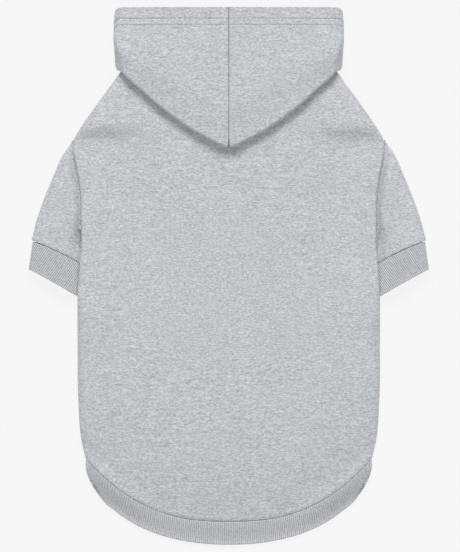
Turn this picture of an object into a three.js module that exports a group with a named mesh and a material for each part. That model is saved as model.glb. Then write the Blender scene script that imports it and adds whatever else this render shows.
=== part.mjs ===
// A dog's hooded sweatshirt, laid flat on its belly side with the hood turned down over the back.
// It is sewn from two body panels, two sleeves, two ribbed cuffs, a two-panel hood and a ribbed hem band.
// Every piece is a sheet of cloth with its real wall: a grid of points down the middle of the cloth,
// worked out from the sizes below, and pushed out by half the wall on each side.
// Millimetres. X runs across the garment, Y from the tail to the neck, Z up from the surface it lies on.
import * as THREE from "three";

// Cloth and seams
const FLEECE = 2.2; // wall of the brushed fleece
const RIB = 3.0; // wall of the doubled rib knit
const SEAM_GAP = 0.5; // between two pieces that are sewn together
const LAY_GAP = 0.5; // between two layers that lie on each other

// Body. Lengths down the garment are measured from the nape.
const CHEST_WIDTH = 302.4;
const BACK_LENGTH = 446;
const SIDE_LENGTH = 384;
const BELLY_LENGTH = 345;
const BODY_HEIGHT = 23; // middle of the back panel's wall, at its highest
const SIDE_HEIGHT = 5.6; // side seam, above the surface
const SIDE_ROLL = 5; // the least that the back rolls over above its side seam
const NECK_WIDTH = 215.6;
const NECK_RISE = 3.5; // neck's sides, above the nape
const THROAT_DROP = 22; // front of the neck, below the nape
const SHOULDER_WIDTH = 312;
const SHOULDER_DROP = 68.5;
const ARMHOLE_DEPTH = 100;
const BACK_ARMHOLE_CUT = 11;
const BELLY_ARMHOLE_CUT = 36;
const BAND_WIDTH = 24; // hem band, at the middle of the back
const BELLY_BAND_WIDTH = 24;

// Sleeves and cuffs
const SLEEVE_SPAN = 394.4; // from the end of one sleeve to the end of the other
const SLEEVE_LENGTH = 94.5; // down from the shoulder tip
const SLEEVE_END_WIDTH = 66; // flat width at the cuff's seam
const SLEEVE_HEIGHT = 13.5;
const SLEEVE_FOLD_HEIGHT = 5.0;
const CUFF_ANGLE = 27.7; // degrees that the cuff's edge falls towards the body
const CUFF_SEAM_WIDTH = 61;
const CUFF_EDGE_WIDTH = 60;
const CUFF_LENGTH = 27.8;
const CUFF_SWING = 10.2; // how much nearer the body the cuff's edge lies than its seam
const CUFF_HEIGHT = 11.5;
const TUCK_HEIGHT = 8.3; // what of the sleeve lies under the body holds the body up by this

// Hood
const HOOD_WIDTH = 230;
const HOOD_RISE = 68; // opening's edge, above the nape
const HOOD_DROP = 73; // tip, below the nape
const HOOD_SIDE_HEIGHT = 6.2;
const HOOD_FOLD_RADIUS = 3.6;
const HOOD_CORNER_RADIUS = 6;
const COLLAR_ROLL = 8; // how far the hood stands forward of the nape before it turns down
const COLLAR_ROLL_RADIUS = 2.4;
const POUCH_DEPTH = 8.2; // between the hood's two layers, wall to wall
const HOOD_EDGE_HEIGHT = 31.5;
const THROAT_OVERLAP = 12; // hood's height at the throat

// How the sections are drawn
const CROWN_POWER = 3; // of the superellipse that a laid body takes across
const NECK_BEND = 2;
const HEM_BEND = 2.6;
const BAND_EDGE_POWER = 2;

// The side edge from shoulder tip to armpit: depths as shares of the armhole's, cuts as shares of the two cuts.
const ARMHOLE = [
  { down: 0.0, backCut: 0.0, bellyCut: 0.0 },
  { down: 0.1, backCut: 0.34, bellyCut: 0.34 },
  { down: 0.22, backCut: 0.56, bellyCut: 0.6 },
  { down: 0.36, backCut: 0.74, bellyCut: 0.8 },
  { down: 0.52, backCut: 0.88, bellyCut: 0.95 },
  { down: 0.68, backCut: 0.945, bellyCut: 1.0 },
  { down: 0.82, backCut: 0.92, bellyCut: 0.9 },
  { down: 0.92, backCut: 0.87, bellyCut: 0.66 },
  { down: 1.0, backCut: 0.81, bellyCut: 0.247 },
];

// The side edge from armpit to hem band: out is a share of half the chest.
const SIDE = [
  { down: 0.0, out: 0.973 },
  { down: 0.075, out: 0.985 },
  { down: 0.155, out: 0.993 },
  { down: 0.24, out: 1.0 },
  { down: 0.64, out: 1.0 },
  { down: 0.735, out: 0.995 },
  { down: 0.85, out: 0.987 },
  { down: 0.95, out: 0.965 },
  { down: 1.0, out: 0.944 },
];

// Heights down the body. along is 0 at the neck, 1 at the shoulder tip, 2 at the armpit and 3 at the hem band.
// crown is a share of the body's height, and lift of what the tucked sleeve lifts the side by.
const HEIGHTS = [
  { along: 0.0, crown: 0.79, lift: 0.0 },
  { along: 0.6, crown: 0.92, lift: 0.0 },
  { along: 1.0, crown: 0.97, lift: 0.0 },
  { along: 1.25, crown: 1.0, lift: 0.3 },
  { along: 1.6, crown: 1.0, lift: 0.62 },
  { along: 1.85, crown: 1.0, lift: 0.95 },
  { along: 2.0, crown: 1.0, lift: 1.0 },
  { along: 2.28, crown: 1.0, lift: 1.0 },
  { along: 2.44, crown: 0.99, lift: 0.0 },
  { along: 2.65, crown: 0.95, lift: 0.0 },
  { along: 2.82, crown: 0.78, lift: 0.0 },
  { along: 2.93, crown: 0.45, lift: 0.0 },
  { along: 3.0, crown: 0.2, lift: 0.0 },
];

// The belly panel's edge: curl is how much of the side's fold it has, and lift as above.
const BELLY_EDGE = [
  { along: 0.0, curl: 1.0, lift: 0.0 },
  { along: 1.0, curl: 1.0, lift: 0.0 },
  { along: 1.1, curl: 0.0, lift: 0.0 },
  { along: 1.66, curl: 0.0, lift: 0.0 },
  { along: 1.8, curl: 0.0, lift: 0.6 },
  { along: 1.91, curl: 0.3, lift: 1.0 },
  { along: 2.0, curl: 1.0, lift: 1.0 },
  { along: 2.28, curl: 1.0, lift: 1.0 },
  { along: 2.44, curl: 1.0, lift: 0.0 },
  { along: 3.0, curl: 1.0, lift: 0.0 },
];

// The turned-down hood's lower fold, from its tip to its side. across is a share of half the hood's width,
// and drop of the hood's drop: the last rows are above the nape.
const HOOD_FOLD = [
  { across: 0.0, drop: 1.0 },
  { across: 0.045, drop: 0.982 },
  { across: 0.16, drop: 0.887 },
  { across: 0.302, drop: 0.771 },
  { across: 0.42, drop: 0.65 },
  { across: 0.526, drop: 0.53 },
  { across: 0.64, drop: 0.39 },
  { across: 0.75, drop: 0.225 },
  { across: 0.85, drop: 0.1 },
  { across: 0.93, drop: -0.03 },
  { across: 0.98, drop: -0.17 },
];

// The hood's outline above the fold: up is a share of the hood's rise, and out of half its width.
const HOOD_SIDE = [
  { up: -0.1, out: 0.9 },
  { up: 0.05, out: 0.939 },
  { up: 0.18, out: 0.982 },
  { up: 0.36, out: 0.997 },
  { up: 0.6, out: 1.0 },
  { up: 0.85, out: 0.993 },
  { up: 1.0, out: 0.985 },
];

// Across the panels. Shares from the middle to the side edge.
const BACK_COLUMNS = 11; // from the middle to each side
const BELLY_FLAT_COLUMNS = 4;
const BELLY_EDGE_COLUMNS = [28, 24, 20, 16, 10, 4.6, 2.3, 1, 0.25, 0]; // in from the side edge
const BELLY_RAMP = { start: 27, run: 11 }; // where the tucked sleeve lifts the belly, in from the side edge
const SLEEVE_RUN = 9; // steps from fold to fold, on each layer
const HOOD_COLUMNS = [0.0, 0.13, 0.27, 0.41, 0.54, 0.66, 0.77, 0.86, 0.92, 0.96, 0.985];
const THROAT_COLUMNS = [0.985, 0.93, 0.75, 0.5, 0.25, 0.0];
// Down a line of the hood: the steps round each turn, the shares of the run underneath, and of the run on top.
const HOOD_TURN = 4;
const HOOD_UNDER = [0.02, 0.16, 0.36, 0.58, 0.8];
const HOOD_TOP = [0.1, 0.28, 0.48, 0.68, 0.86, 1];
const HOOD_CORNER = 0.12; // what of the side's fold the lines' turns and undersides gather in
const HOOD_HIDDEN = 2 * HOOD_TURN + 4 + HOOD_UNDER.length;
const HOOD_STEPS = [
  ...Array.from({ length: HOOD_HIDDEN }, (_, i) => (HOOD_CORNER * i) / HOOD_HIDDEN),
  ...HOOD_TOP.map((t) => HOOD_CORNER + (1 - HOOD_CORNER) * t),
];
const ROWS_ALONG = [
  0, 0.25, 0.5, 0.75, 1, 1.09, 1.22, 1.36, 1.52, 1.66, 1.8, 1.91, 2, 2.07, 2.17, 2.28, 2.36, 2.44, 2.56, 2.68, 2.78,
  2.86, 2.93, 2.97, 3,
];

const mix = (a, b, share) => a + (b - a) * share;
const clamp = (x, low, high) => Math.min(high, Math.max(low, x));
const ease = (x) => {
  const t = clamp(x, 0, 1);
  return t * t * (3 - 2 * t);
};
const point = (x, y, z) => new THREE.Vector3(x, y, z);

// A column of a table at a place between its rows, on a smooth curve that keeps between them.
function read(table, place, at, column) {
  const last = table.length - 1;
  const x = clamp(at, table[0][place], table[last][place]);
  let i = 0;
  while (i < last - 1 && table[i + 1][place] < x) i++;
  const slope = (a, b) => (table[b][column] - table[a][column]) / (table[b][place] - table[a][place]);
  const bend = (k) => {
    if (k === 0 || k === last) return k === 0 ? slope(0, 1) : slope(last - 1, last);
    const before = slope(k - 1, k);
    const after = slope(k, k + 1);
    return before * after <= 0 ? 0 : (2 * before * after) / (before + after);
  };
  const step = table[i + 1][place] - table[i][place];
  const t = (x - table[i][place]) / step;
  const low = table[i][column];
  const high = table[i + 1][column];
  return (
    low * (1 + 2 * t) * (1 - t) ** 2 +
    high * t * t * (3 - 2 * t) +
    step * (bend(i) * t * (1 - t) ** 2 - bend(i + 1) * t * t * (1 - t))
  );
}

// A closed solid from a grid of points down the middle of a cloth. rows run one way and their points the
// other; ring says that each row closes on itself. finish may turn the cloth's normal at an edge.
function cloth(rows, wall, ring = false, finish = (normal) => normal) {
  const count = rows.length;
  const across = rows[0].length;
  const at = (r, c) => rows[clamp(r, 0, count - 1)][ring ? (c + across) % across : clamp(c, 0, across - 1)];
  const faces = [[], []];
  for (let r = 0; r < count; r++)
    for (let c = 0; c < across; c++) {
      const along = at(r + 1, c).clone().sub(at(r - 1, c));
      const sideways = at(r, c + 1).clone().sub(at(r, c - 1));
      const normal = finish(along.cross(sideways).normalize(), r, c);
      faces[0].push(at(r, c).clone().addScaledVector(normal, wall / 2));
      faces[1].push(at(r, c).clone().addScaledVector(normal, -wall / 2));
    }
  const positions = [...faces[0], ...faces[1]].flatMap((p) => [p.x, p.y, p.z]);
  const index = [];
  const under = count * across;
  const id = (r, c) => r * across + (c % across);
  const quad = (a, b, c, d) => index.push(a, b, c, a, c, d);
  const columns = ring ? across : across - 1;
  for (let r = 0; r < count - 1; r++)
    for (let c = 0; c < columns; c++) {
      quad(id(r, c), id(r + 1, c), id(r + 1, c + 1), id(r, c + 1));
      quad(under + id(r, c), under + id(r, c + 1), under + id(r + 1, c + 1), under + id(r + 1, c));
    }
  for (let c = 0; c < columns; c++) {
    quad(id(0, c), id(0, c + 1), under + id(0, c + 1), under + id(0, c));
    quad(id(count - 1, c), under + id(count - 1, c), under + id(count - 1, c + 1), id(count - 1, c + 1));
  }
  if (!ring)
    for (let r = 0; r < count - 1; r++) {
      const far = across - 1;
      quad(id(r, 0), under + id(r, 0), under + id(r + 1, 0), id(r + 1, 0));
      quad(id(r, far), id(r + 1, far), under + id(r + 1, far), under + id(r, far));
    }
  let volume = 0;
  const corner = (k) => point(positions[3 * k], positions[3 * k + 1], positions[3 * k + 2]);
  for (let i = 0; i < index.length; i += 3)
    volume += corner(index[i]).dot(corner(index[i + 1]).cross(corner(index[i + 2])));
  if (volume < 0) index.reverse();
  const geometry = new THREE.BufferGeometry();
  geometry.setAttribute("position", new THREE.Float32BufferAttribute(positions, 3));
  geometry.setIndex(index);
  geometry.computeVertexNormals();
  return geometry;
}

const ARMPIT = SHOULDER_DROP + ARMHOLE_DEPTH;
const halfOf = (width) => (width - FLEECE) / 2; // from the middle to the middle of the wall at the side

// The side edge of the back or belly panel, on the right. along is as in HEIGHTS.
function edge(along, cut, cutColumn) {
  if (along <= 1) {
    const t = Math.max(0, along);
    return { x: mix(halfOf(NECK_WIDTH), halfOf(SHOULDER_WIDTH), t), y: mix(NECK_RISE, -SHOULDER_DROP, t) };
  }
  if (along <= 2)
    return {
      x: halfOf(SHOULDER_WIDTH) - cut * read(ARMHOLE, "down", along - 1, cutColumn) + armpitShift(along - 1),
      y: -SHOULDER_DROP - ARMHOLE_DEPTH * (along - 1),
    };
  return { x: halfOf(CHEST_WIDTH) * read(SIDE, "down", along - 2, "out"), y: mix(-ARMPIT, -SIDE_LENGTH, along - 2) };
}

// The armhole ends on the side edge, whatever the shoulder's and the chest's widths are.
function armpitShift(down) {
  const ends = halfOf(SHOULDER_WIDTH) - BACK_ARMHOLE_CUT * ARMHOLE[ARMHOLE.length - 1].backCut;
  return (halfOf(CHEST_WIDTH) * SIDE[0].out - ends) * ease(down);
}

const backEdge = (along) => edge(along, BACK_ARMHOLE_CUT, "backCut");
const bellyEdge = (along) => edge(along, BELLY_ARMHOLE_CUT, "bellyCut");
const seamHeight = (along) => SIDE_HEIGHT + TUCK_HEIGHT * read(HEIGHTS, "along", along, "lift");

// How far down the middle a row lies whose side edge is at y.
function middleOf(y, top, bottom) {
  const level = -ARMPIT;
  if (y > level) return mix(level, top, (y - level) / (NECK_RISE - level));
  return mix(level, bottom, (y - level) / (-SIDE_LENGTH - level));
}

// A point of the back panel: across is -1 at the left edge, 0 in the middle and 1 at the right edge.
function backPoint(across, along) {
  const e = backEdge(along);
  const middle = middleOf(e.y, 0, -BACK_LENGTH);
  const share = Math.abs(across);
  const y = mix(middle, e.y, share ** (along < 2 ? NECK_BEND : HEM_BEND));
  const seam = seamHeight(along);
  const middleHeight = BODY_HEIGHT * read(HEIGHTS, "along", along, "crown");
  const sideHeight = Math.max(middleHeight, seam + SIDE_ROLL);
  const crown = mix(middleHeight, sideHeight, ease((share - 0.4) / 0.5));
  const z = mix(seam, crown, (1 - share ** CROWN_POWER) ** (1 / CROWN_POWER));
  return point(e.x * across, y, z);
}

// A seam at the side: the cloth stands upright there, and faces out.
const upright = (normal, side) => point(Math.sign(normal.x * side) * side, 0, 0);

function backPanel() {
  const columns = [];
  for (let i = -BACK_COLUMNS; i <= BACK_COLUMNS; i++) {
    const turn = Math.sin(((i / BACK_COLUMNS) * Math.PI) / 2);
    columns.push(Math.sign(turn) * Math.abs(turn) ** (2 / CROWN_POWER));
  }
  const rows = ROWS_ALONG.map((along) => columns.map((across) => backPoint(across, along)));
  const finish = (normal, r, c) => (Math.abs(columns[c]) === 1 ? upright(normal, columns[c]) : normal);
  return cloth(rows, FLEECE, false, finish);
}

// A row of the belly panel: flat on the surface, curled up at its side edges to meet the back panel's.
function bellyRow(along) {
  const e = bellyEdge(along);
  const middle = middleOf(e.y, -THROAT_DROP, -BELLY_LENGTH);
  const curl = read(BELLY_EDGE, "along", along, "curl") * (SIDE_HEIGHT - FLEECE / 2 - SEAM_GAP);
  const lift = TUCK_HEIGHT * read(BELLY_EDGE, "along", along, "lift");
  const half = [];
  const flat = e.x - BELLY_EDGE_COLUMNS[0];
  for (let i = 0; i < BELLY_FLAT_COLUMNS; i++) half.push((flat * i) / BELLY_FLAT_COLUMNS);
  BELLY_EDGE_COLUMNS.forEach((inwards) => half.push(e.x - inwards));
  const right = half.map((x) => {
    const into = Math.max(0, curl - (e.x - x));
    const z = FLEECE / 2 + curl - Math.sqrt(curl * curl - into * into);
    const lifted = lift * ease((x - e.x + BELLY_RAMP.start) / BELLY_RAMP.run);
    return point(x, mix(middle, e.y, (x / e.x) ** NECK_BEND), z + lifted);
  });
  const left = right.slice(1).reverse();
  return [...left.map((p) => point(-p.x, p.y, p.z)), ...right];
}

function bellyPanel() {
  const rows = ROWS_ALONG.map(bellyRow);
  const last = rows[0].length - 1;
  const curled = (r) => read(BELLY_EDGE, "along", ROWS_ALONG[r], "curl") > 0.5;
  const finish = (normal, r, c) => ((c === 0 || c === last) && curled(r) ? upright(normal, c ? 1 : -1) : normal);
  return cloth(rows, FLEECE, false, finish);
}

const CUFF_SLOPE = THREE.MathUtils.degToRad(CUFF_ANGLE);
const CUFF_ACROSS = point(-Math.cos(CUFF_SLOPE), -Math.sin(CUFF_SLOPE), 0); // from the outer fold to the inner
const CUFF_DOWN = point(Math.sin(CUFF_SLOPE), -Math.cos(CUFF_SLOPE), 0); // out of the sleeve
const SLEEVE_END = point(halfOf(SLEEVE_SPAN), -SHOULDER_DROP - SLEEVE_LENGTH, 0);
const TUCK_SLOPE = 0.85; // of the sleeve's top, up from the seam or from under the body
const SEAM_BOW = 2.2; // cuff's seam, off a straight line
const SEAM_TURN = -0.045; // and its slope against the cuff's edge, in radians

// The most that the middle of a sleeve's or cuff's upper wall may stand: it drops into the armhole's seam,
// lies under the body's side below the armpit, and rises again outside the body.
function tuckLimit(p, wall) {
  const below = -ARMPIT - p.y;
  const along = below < 0 ? Math.max(1, 2 + below / ARMHOLE_DEPTH) : 2 + below / (SIDE_LENGTH - ARMPIT);
  const outside = Math.max(0, p.x - backEdge(along).x - FLEECE / 2 - SEAM_GAP);
  const seam = seamHeight(along) - SEAM_GAP - 0.4 - wall / 2;
  const under = TUCK_HEIGHT - LAY_GAP - wall / 2;
  return mix(seam, under, ease((along - 1.86) / 0.12)) + TUCK_SLOPE * outside;
}

// A ring round a laid sleeve or cuff: from the outer fold over the top to the inner fold and back underneath.
// upper and lower give the plan of each layer at a share of the way across.
function flatRing(upper, lower, heights, wall) {
  const ring = [];
  for (let i = 0; i < 2 * SLEEVE_RUN; i++) {
    const angle = (Math.PI * i) / SLEEVE_RUN;
    const share = (1 - Math.cos(angle)) / 2;
    const rise = Math.abs(Math.sin(angle));
    const above = i <= SLEEVE_RUN;
    const p = (above ? upper : lower)(share);
    const fold = mix(heights.outer, heights.inner, share);
    const top = Math.min(mix(fold, heights.top, rise ** 0.6), Math.max(fold, tuckLimit(p, wall)));
    const bottom = mix(fold, heights.bottom, rise ** 0.35);
    ring.push(point(p.x, p.y, above ? top : bottom));
  }
  return ring;
}

// The seam line between sleeve and cuff, in plan, from the outer fold to the inner.
function cuffSeam(share, width, forward) {
  const turned = CUFF_ACROSS.clone().applyAxisAngle(point(0, 0, 1), SEAM_TURN);
  const inset = (SLEEVE_END_WIDTH - width) / 2;
  return SLEEVE_END.clone()
    .addScaledVector(turned, inset + width * share)
    .addScaledVector(CUFF_DOWN, forward - SEAM_BOW * 4 * share * (1 - share));
}

const SLEEVE_ROWS = [0, 0.035, 0.12, 0.28, 0.46, 0.64, 0.82, 0.94, 1];

function sleeve() {
  const butt = SEAM_GAP + 0.2;
  const tip = FLEECE + SEAM_GAP; // clear of both panels' upright edges, at the shoulder's tip
  const shoulderOut = 2.3; // how far the sleeve's fold bows out between the shoulder tip and the cuff
  // The armhole's seam on each layer, moved out from the panel's edge.
  const seamOf = (panelEdge) => (share) => {
    const e = panelEdge(1 + share);
    return point(e.x + mix(tip, butt, ease(share / 0.12)), e.y - 1.2 * (1 - share) ** 4, 0);
  };
  const backSeam = seamOf(backEdge);
  const bellySeam = seamOf(bellyEdge);
  const end = (share) => cuffSeam(share, SLEEVE_END_WIDTH, 0);
  const between = (start, s) => (share) => {
    const p = start(share).lerp(end(share), s);
    const bow = 4 * s * (1 - s) * (1 - share) ** 2 * shoulderOut;
    return p.add(point(bow, 0.4 * bow, 0));
  };
  const rows = SLEEVE_ROWS.map((s) => {
    const heights = {
      outer: mix(SIDE_HEIGHT - FLEECE / 2 - SEAM_GAP, SLEEVE_FOLD_HEIGHT, s),
      inner: SLEEVE_FOLD_HEIGHT - 0.4,
      top: SLEEVE_HEIGHT,
      bottom: FLEECE / 2,
    };
    return flatRing(between(backSeam, s), between(bellySeam, s), heights, FLEECE);
  });
  return cloth(rows, FLEECE, true);
}

function cuff() {
  const shares = [0, 0.08, 0.35, 0.68, 1];
  const start = SEAM_GAP + 0.9;
  const rows = shares.map((s) => {
    const width = mix(CUFF_SEAM_WIDTH, CUFF_EDGE_WIDTH, s ** 0.8);
    const straight = (share) => {
      const seam = cuffSeam(share, width, start);
      const middle = SLEEVE_END.clone().addScaledVector(CUFF_ACROSS, SLEEVE_END_WIDTH / 2);
      const lower = middle
        .addScaledVector(CUFF_ACROSS, (share - 0.5) * width + CUFF_SWING)
        .addScaledVector(CUFF_DOWN, CUFF_LENGTH + start);
      return seam.lerp(lower, s);
    };
    const heights = {
      outer: mix(SLEEVE_FOLD_HEIGHT, SLEEVE_FOLD_HEIGHT - 0.6, s),
      inner: mix(SLEEVE_FOLD_HEIGHT - 0.4, SLEEVE_FOLD_HEIGHT - 1, s),
      top: mix(SLEEVE_HEIGHT - 0.8, CUFF_HEIGHT, ease(s)),
      bottom: RIB / 2,
    };
    return flatRing(straight, straight, heights, RIB);
  });
  return cloth(rows, RIB, true);
}

// The hem band: a ring that follows both panels' lower edges, the long back one and the short belly one.
function hemBand() {
  const shares = [0, 0.3, 0.65, 1];
  const half = halfOf(CHEST_WIDTH) * SIDE[SIDE.length - 1].out;
  const sideDrop = BAND_WIDTH;
  const edgeHalf = half - 6;
  const edgeDepth = BACK_LENGTH + BAND_WIDTH - SIDE_LENGTH;
  const backTurns = 15;
  const bellyTurns = 9;
  const ring = (s) => {
    const points = [];
    for (let i = -backTurns; i <= backTurns; i++) {
      const turn = Math.sin(((i / backTurns) * Math.PI) / 2);
      const across = Math.sign(turn) * Math.abs(turn) ** (2 / CROWN_POWER);
      const seam = backPoint(across, 3);
      const x = edgeHalf * across;
      const down = Math.sqrt(Math.max(0, 1 - Math.abs(x / half) ** BAND_EDGE_POWER));
      const lip = point(x, -SIDE_LENGTH - mix(sideDrop, edgeDepth, clamp((down - 0.29) / 0.71, 0, 1)), 0);
      const rest = RIB / 2 + (SIDE_HEIGHT - 1.4 - RIB / 2) * Math.abs(across) ** 14;
      points.push(layDown(seam, lip, rest, s, Math.abs(across)));
    }
    for (let i = bellyTurns - 1; i > -bellyTurns; i--) {
      const turn = Math.sin(((i / bellyTurns) * Math.PI) / 2);
      const across = Math.sign(turn) * Math.abs(turn) ** 0.5;
      const row = -mix(BELLY_LENGTH, SIDE_LENGTH, across ** 2);
      const curl = Math.max(0, Math.abs(across) - 0.97) / 0.03;
      const seam = point(half * across, row, FLEECE / 2 + (SIDE_HEIGHT - FLEECE / 2) * curl ** 2);
      const lip = point(edgeHalf * across, row - mix(BELLY_BAND_WIDTH, sideDrop, across ** 2), 0);
      points.push(layDown(seam, lip, RIB / 2, s, Math.abs(across)));
    }
    return points;
  };
  return cloth(shares.map(ring), RIB, true);
}

// A point of the hem band between the seam it hangs from and its lower lip.
function layDown(seam, lip, rest, s, across) {
  const away = lip.clone().sub(seam).setZ(0).normalize();
  const start = seam.clone().addScaledVector(away, SEAM_GAP + mix(0.5, 1.4, across ** 8));
  start.z = Math.max(RIB / 2, seam.z);
  const p = start.clone().lerp(lip, s);
  const bulge = 2.2 * 4 * s * (1 - s) * across ** 10;
  return point(p.x + Math.sign(lip.x) * bulge, p.y, mix(start.z, rest, ease(s * 1.15)));
}

const HOOD_HALF = halfOf(HOOD_WIDTH);

// The lower fold's place down the garment at a place across it.
const foldAt = (x) => FLEECE / 2 - HOOD_DROP * read(HOOD_FOLD, "across", Math.abs(x) / HOOD_HALF, "drop");
const hoodSide = (y) => HOOD_HALF * read(HOOD_SIDE, "up", y / HOOD_RISE, "out");

// How far along the back panel the hood's lower fold crosses the line at that share across.
function foldAlong(across) {
  let low = 0;
  let high = 1.3;
  for (let i = 0; i < 30; i++) {
    const middle = (low + high) / 2;
    const p = backPoint(across, middle);
    if (p.y > foldAt(p.x)) low = middle;
    else high = middle;
  }
  return low;
}

// The edge of the hood's opening, in plan, rounded at its corners. across runs from 0 to 1.
function openingAt(across) {
  const half = hoodSide(HOOD_RISE);
  const x = half * across;
  const into = Math.max(0, x - (half - HOOD_CORNER_RADIUS));
  return { x, y: HOOD_RISE - HOOD_CORNER_RADIUS + Math.sqrt(HOOD_CORNER_RADIUS ** 2 - into ** 2) };
}

// One line of the hood from the neck's seam, forward in the collar's roll, back over the body to the lower
// fold, and up over the top to the opening's edge. side is 0 in the middle of the back and 1 at the side.
function hoodLine(across, gap) {
  const line = [];
  const neck = backPoint(across, 0);
  const foldPlace = foldAlong(across);
  const fold = backPoint(across, foldPlace);
  const taper = 1 - across ** 4;
  const roll = COLLAR_ROLL * taper + 3;
  const steepness = across ** 12; // the back falls away steeply at its side
  const lay = (FLEECE + LAY_GAP) * (1 + 1.2 * steepness);
  const radius = Math.max(COLLAR_ROLL_RADIUS * mix(0.8, 1, taper), (FLEECE + LAY_GAP) / 2);
  const x0 = neck.x + gap;
  const start = neck.y + SEAM_GAP + 0.35 + 0.9 * across ** 6;
  line.push(point(x0, start, neck.z));
  line.push(point(x0, start + (roll - radius) * 0.5, neck.z));
  for (let i = 0; i <= HOOD_TURN; i++) {
    const angle = (Math.PI * i) / HOOD_TURN;
    const forward = roll - radius + radius * Math.sin(angle);
    line.push(point(x0, start + forward, neck.z + radius * (1 - Math.cos(angle))));
  }
  const turnRadius = HOOD_FOLD_RADIUS;
  HOOD_UNDER.forEach((t) => {
    const p = backPoint(across, foldPlace * t);
    const down = mix(neck.y, fold.y + turnRadius, t);
    const y = Math.min(p.y, down + 3);
    const high = mix(neck.z + 2 * radius, p.z + lay, ease(t * 3));
    line.push(point(p.x + gap, y, Math.max(high, p.z + lay)));
  });
  const middle = fold.z + lay + turnRadius;
  for (let i = 0; i <= HOOD_TURN; i++) {
    const angle = (Math.PI * i) / HOOD_TURN;
    const y = fold.y + turnRadius * (1 - Math.sin(angle));
    line.push(point(fold.x + gap, y, middle - turnRadius * Math.cos(angle)));
  }
  const open = openingAt(across);
  HOOD_TOP.forEach((t) => {
    const y = mix(fold.y + turnRadius, open.y, t);
    const x = mix(fold.x, Math.max(open.x, across * hoodSide(Math.max(y, 0))), ease(t * 1.6));
    line.push(point(x + gap, y, hoodTop(x, y, across, middle + turnRadius, t)));
  });
  return line;
}

// The height of the hood's upper layer: full over the pouch, and lower again at the opening's edge.
function hoodTop(x, y, across, foldTop, t) {
  const pouch = foldTop + (POUCH_DEPTH + FLEECE - 2 * HOOD_FOLD_RADIUS) * ease(t * 3);
  const section = (1 - Math.min(1, Math.abs(across)) ** CROWN_POWER) ** (1 / CROWN_POWER);
  const edgeHeight = mix(HOOD_SIDE_HEIGHT, HOOD_EDGE_HEIGHT, section);
  return mix(pouch, edgeHeight, ease((t - 0.25) / 0.75));
}

// The hood's fold at its side, from the neck to the corner of the opening.
function hoodSideLine() {
  const neck = backEdge(0);
  const corner = openingAt(1);
  return HOOD_STEPS.map((t) => {
    const y = mix(neck.y + SEAM_GAP + FLEECE / 2, corner.y, t);
    return point(Math.max(neck.x + SEAM_GAP, hoodSide(y)), y, mix(SIDE_HEIGHT, HOOD_SIDE_HEIGHT, ease(t * 3)));
  });
}

// A line of the hood's front, which lies on the surface from the neck's front to the opening's edge.
function throatLine(across, gap) {
  const neckX = halfOf(NECK_WIDTH) * across;
  const neckY = mix(-THROAT_DROP, NECK_RISE, across ** NECK_BEND) + SEAM_GAP + 0.2 + 0.6 * across ** 8;
  const open = openingAt(across);
  const lip = mix(-THROAT_DROP + THROAT_OVERLAP, open.y, across ** 1.5);
  return HOOD_STEPS.map((t) => {
    const y = mix(neckY, lip, t);
    const side = hoodSide(y);
    const x = mix(neckX, Math.min(open.x, side * across), ease(t * 1.6));
    const near = Math.max(0, across - 0.96) / 0.04;
    return point(x + gap, y, FLEECE / 2 + (SIDE_HEIGHT - FLEECE / 2) * near ** 2);
  });
}

function hoodPanel() {
  const half = SEAM_GAP / 2;
  const lines = HOOD_COLUMNS.map((across) => hoodLine(across, half * (1 - across)));
  lines.push(hoodSideLine());
  THROAT_COLUMNS.forEach((across) => lines.push(throatLine(across, half * (1 - across))));
  const last = lines.length - 1;
  // The two halves meet square in the middle.
  const finish = (normal, r) => (r === 0 || r === last ? normal.setX(0).normalize() : normal);
  return cloth(lines, FLEECE, false, finish);
}

// The same piece for the other side of the garment.
function mirrored(geometry) {
  const other = geometry.clone();
  other.scale(-1, 1, 1);
  other.setIndex([...other.index.array].reverse());
  other.computeVertexNormals();
  return other;
}

const fleece = () => new THREE.MeshStandardMaterial({ color: 0xc3c4c9, roughness: 0.95, metalness: 0 });
const rib = () => new THREE.MeshStandardMaterial({ color: 0xb9babf, roughness: 0.95, metalness: 0 });

function piece(name, geometry, material) {
  const mesh = new THREE.Mesh(geometry, material);
  mesh.name = name;
  return mesh;
}

const garment = new THREE.Group();
const rightSleeve = sleeve();
const rightCuff = cuff();
const rightHood = hoodPanel();
garment.add(
  piece("back_panel", backPanel(), fleece()),
  piece("belly_panel", bellyPanel(), fleece()),
  piece("sleeve_right", rightSleeve, fleece()),
  piece("sleeve_left", mirrored(rightSleeve), fleece()),
  piece("cuff_right", rightCuff, rib()),
  piece("cuff_left", mirrored(rightCuff), rib()),
  piece("hood_right", rightHood, fleece()),
  piece("hood_left", mirrored(rightHood), fleece()),
  piece("hem_band", hemBand(), rib()),
);
// The origin is under the middle of the garment, on the surface it lies on.
garment.position.y = (BACK_LENGTH + BAND_WIDTH - HOOD_RISE) / 2;

export default garment;
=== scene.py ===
"""The looks of a dog's hooded sweatshirt, laid flat with its back up and its hood turned down.

Every piece of cloth is a sheet that follows its own pattern: a grid is laid on a net of points down the
middle of the cloth, smoothed, pressed along its seams, and given its wall. Pattern sizes are in millimetres,
as a cutter writes them, and become metres where a mesh is made.
"""
import logging
import math
from dataclasses import dataclass, field
from enum import Enum
from typing import Callable

import bpy
import numpy as np
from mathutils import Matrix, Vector, noise
from mathutils.kdtree import KDTree


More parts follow.
